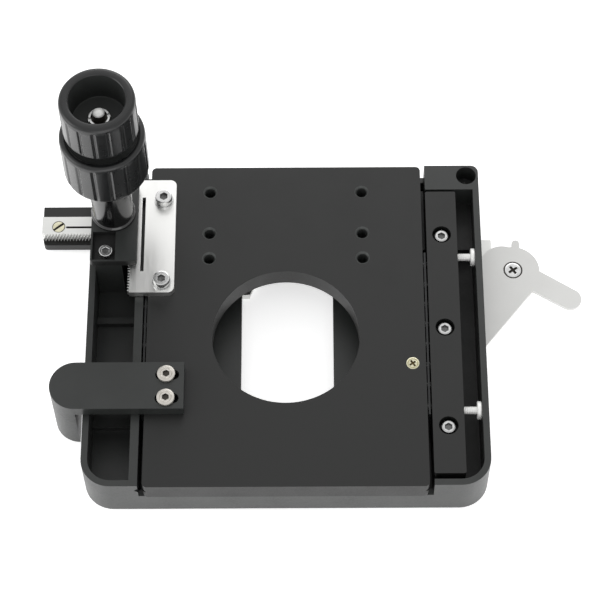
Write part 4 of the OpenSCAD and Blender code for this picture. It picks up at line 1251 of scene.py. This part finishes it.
@dataclass
class SlideBarGroup:
    """The slide bar with its toothed strip, holder plate and clamp finger.

    Attributes:
        bar_edge: how far the bar's edges are broken.
        strip_edge: the same for the toothed strip.
        screw_edge: the same for the strip's screws.
        holder_edge: the same for the holder plate.
        finger_edge: the same for the clamp finger.
        tooth_lean: how far a tooth's foot lies left of its top, per millimetre of height.
        tooth_row: depth of the toothed row behind the strip's face.
        end_land: length of the strip's plain ends.
        slit_in: distance of the slit's walls from the strip's front and back face, at least.
        slot_turn: turn of the strip screws' slots, in radians.
        slot_reach: least and greatest depth of a slot's faces under the screws' top.
        countersink_r: radius that holds all faces of the finger's countersink.
    """

    bar_edge: float = 0.3
    strip_edge: float = 0.05
    screw_edge: float = 0.16
    holder_edge: float = 0.15
    finger_edge: float = 0.18
    tooth_lean: float = 0.32
    tooth_row: float = 0.75
    end_land: float = 0.5
    slit_in: tuple[float, float] = (1.0, 0.02)
    slot_turn: float = 0.663
    slot_reach: tuple[float, float] = (0.1, 0.7)
    countersink_r: float = 3.05

    def between_ends(self, places: Array) -> Array:
        """Returns which places lie between the toothed strip's plain ends."""
        low, high = box_mm("x_rack")
        return between(places[:, 0], low[0] + self.end_land, high[0] - self.end_land)

    def lean_teeth(self, places: Array) -> Array:
        """Shears the row of teeth along X with depth, so that each tooth stands slanted."""
        low, high = box_mm("x_rack")
        in_row = (places[:, 1] < low[1] + self.tooth_row) & self.between_ends(places)
        moved = places.copy()
        moved[:, 0] -= np.where(in_row, (high[2] - places[:, 2]) * self.tooth_lean, 0.0)
        return moved

    def in_screw_slot(self, middles: Array, normals: Array) -> Array:
        """Returns which faces are the floors and walls of the strip screws' slots: painted shade.
        """
        near = between(box_mm("x_rack_screws")[1][2] - middles[:, 2], *self.slot_reach)
        # A slot's walls face across it, to within about 11 degrees.
        across = np.array([math.sin(self.slot_turn), -math.cos(self.slot_turn)])
        cut_wall = np.abs(normals[:, :2] @ across) > 0.98
        return near & ((normals[:, 2] > LEVEL) | cut_wall)

    def in_strip_slit(self, middles: Array, normals: Array) -> Array:
        """Returns which faces of the toothed strip are walls of its slit and counterbores: painted
        shade.
        """
        low, high = box_mm("x_rack")
        within = between(middles[:, 1], low[1] + self.slit_in[0], high[1] - self.slit_in[1])
        return within & self.between_ends(middles) & (np.abs(normals[:, 2]) < STEEP)

    def in_countersink(self, middles: Array, normals: Array) -> Array:
        """Returns which faces of the finger are its pivot's countersink and hole: a painted shadow
        ring.
        """
        low, high = box_mm("finger_pivot_screw")
        away = np.hypot(*(middles - (low + high) / 2)[:, :2].T)
        return (away < self.countersink_r) & (np.abs(normals[:, 2]) < LEVEL)

    def build(self) -> None:
        """Dresses the group's pieces."""
        eased_copy("x_bar", ANODISED_PLATE, self.bar_edge)
        # The strip's slit walls and counterbores get a dark finish as painted shade.
        eased_copy(
            "x_rack", GROUND_ALONG_X, self.strip_edge, PAINTED_RECESS_SHADE, self.in_strip_slit,
            self.lean_teeth,
        )
        # The screws' slots get a dark finish as painted shade.
        eased_copy("x_rack_screws", YELLOW_ZINC, self.screw_edge, PAINTED_RECESS_SHADE, self.in_screw_slot)
        eased_copy("slide_holder", SATIN_NICKEL, self.holder_edge)
        dress("holder_screws", BRIGHT_ZINC)
        # The pivot's countersink gets a dark finish as a painted shadow ring.
        eased_copy(
            "clamp_finger", LACQUERED_SHEET, self.finger_edge, PAINTED_RECESS_SHADE, self.in_countersink
        )
        pivot = CrossScrew(
            head_d=5.3, head_h=1.4, shank_d=3.2, edge=0.12, recess_depth=0.8, arm_l=1.6,
            arm_w=0.75, turn=0.6,
        )
        screw_set("finger_cross_screw", pivot, "finger_pivot_screw", BRIGHT_ZINC, countersunk=True)
        dress("finger_spring", BRIGHT_ZINC)


def main() -> None:
    logging.basicConfig(level=logging.INFO, format="%(message)s")
    Studio().build()
    for group in (MountPlateGroup(), CarriageGroup(), KnobColumn(), SlideBarGroup()):
        group.build()
        LOG.info("%s done", type(group).__name__)


if __name__ == "__main__":
    main()
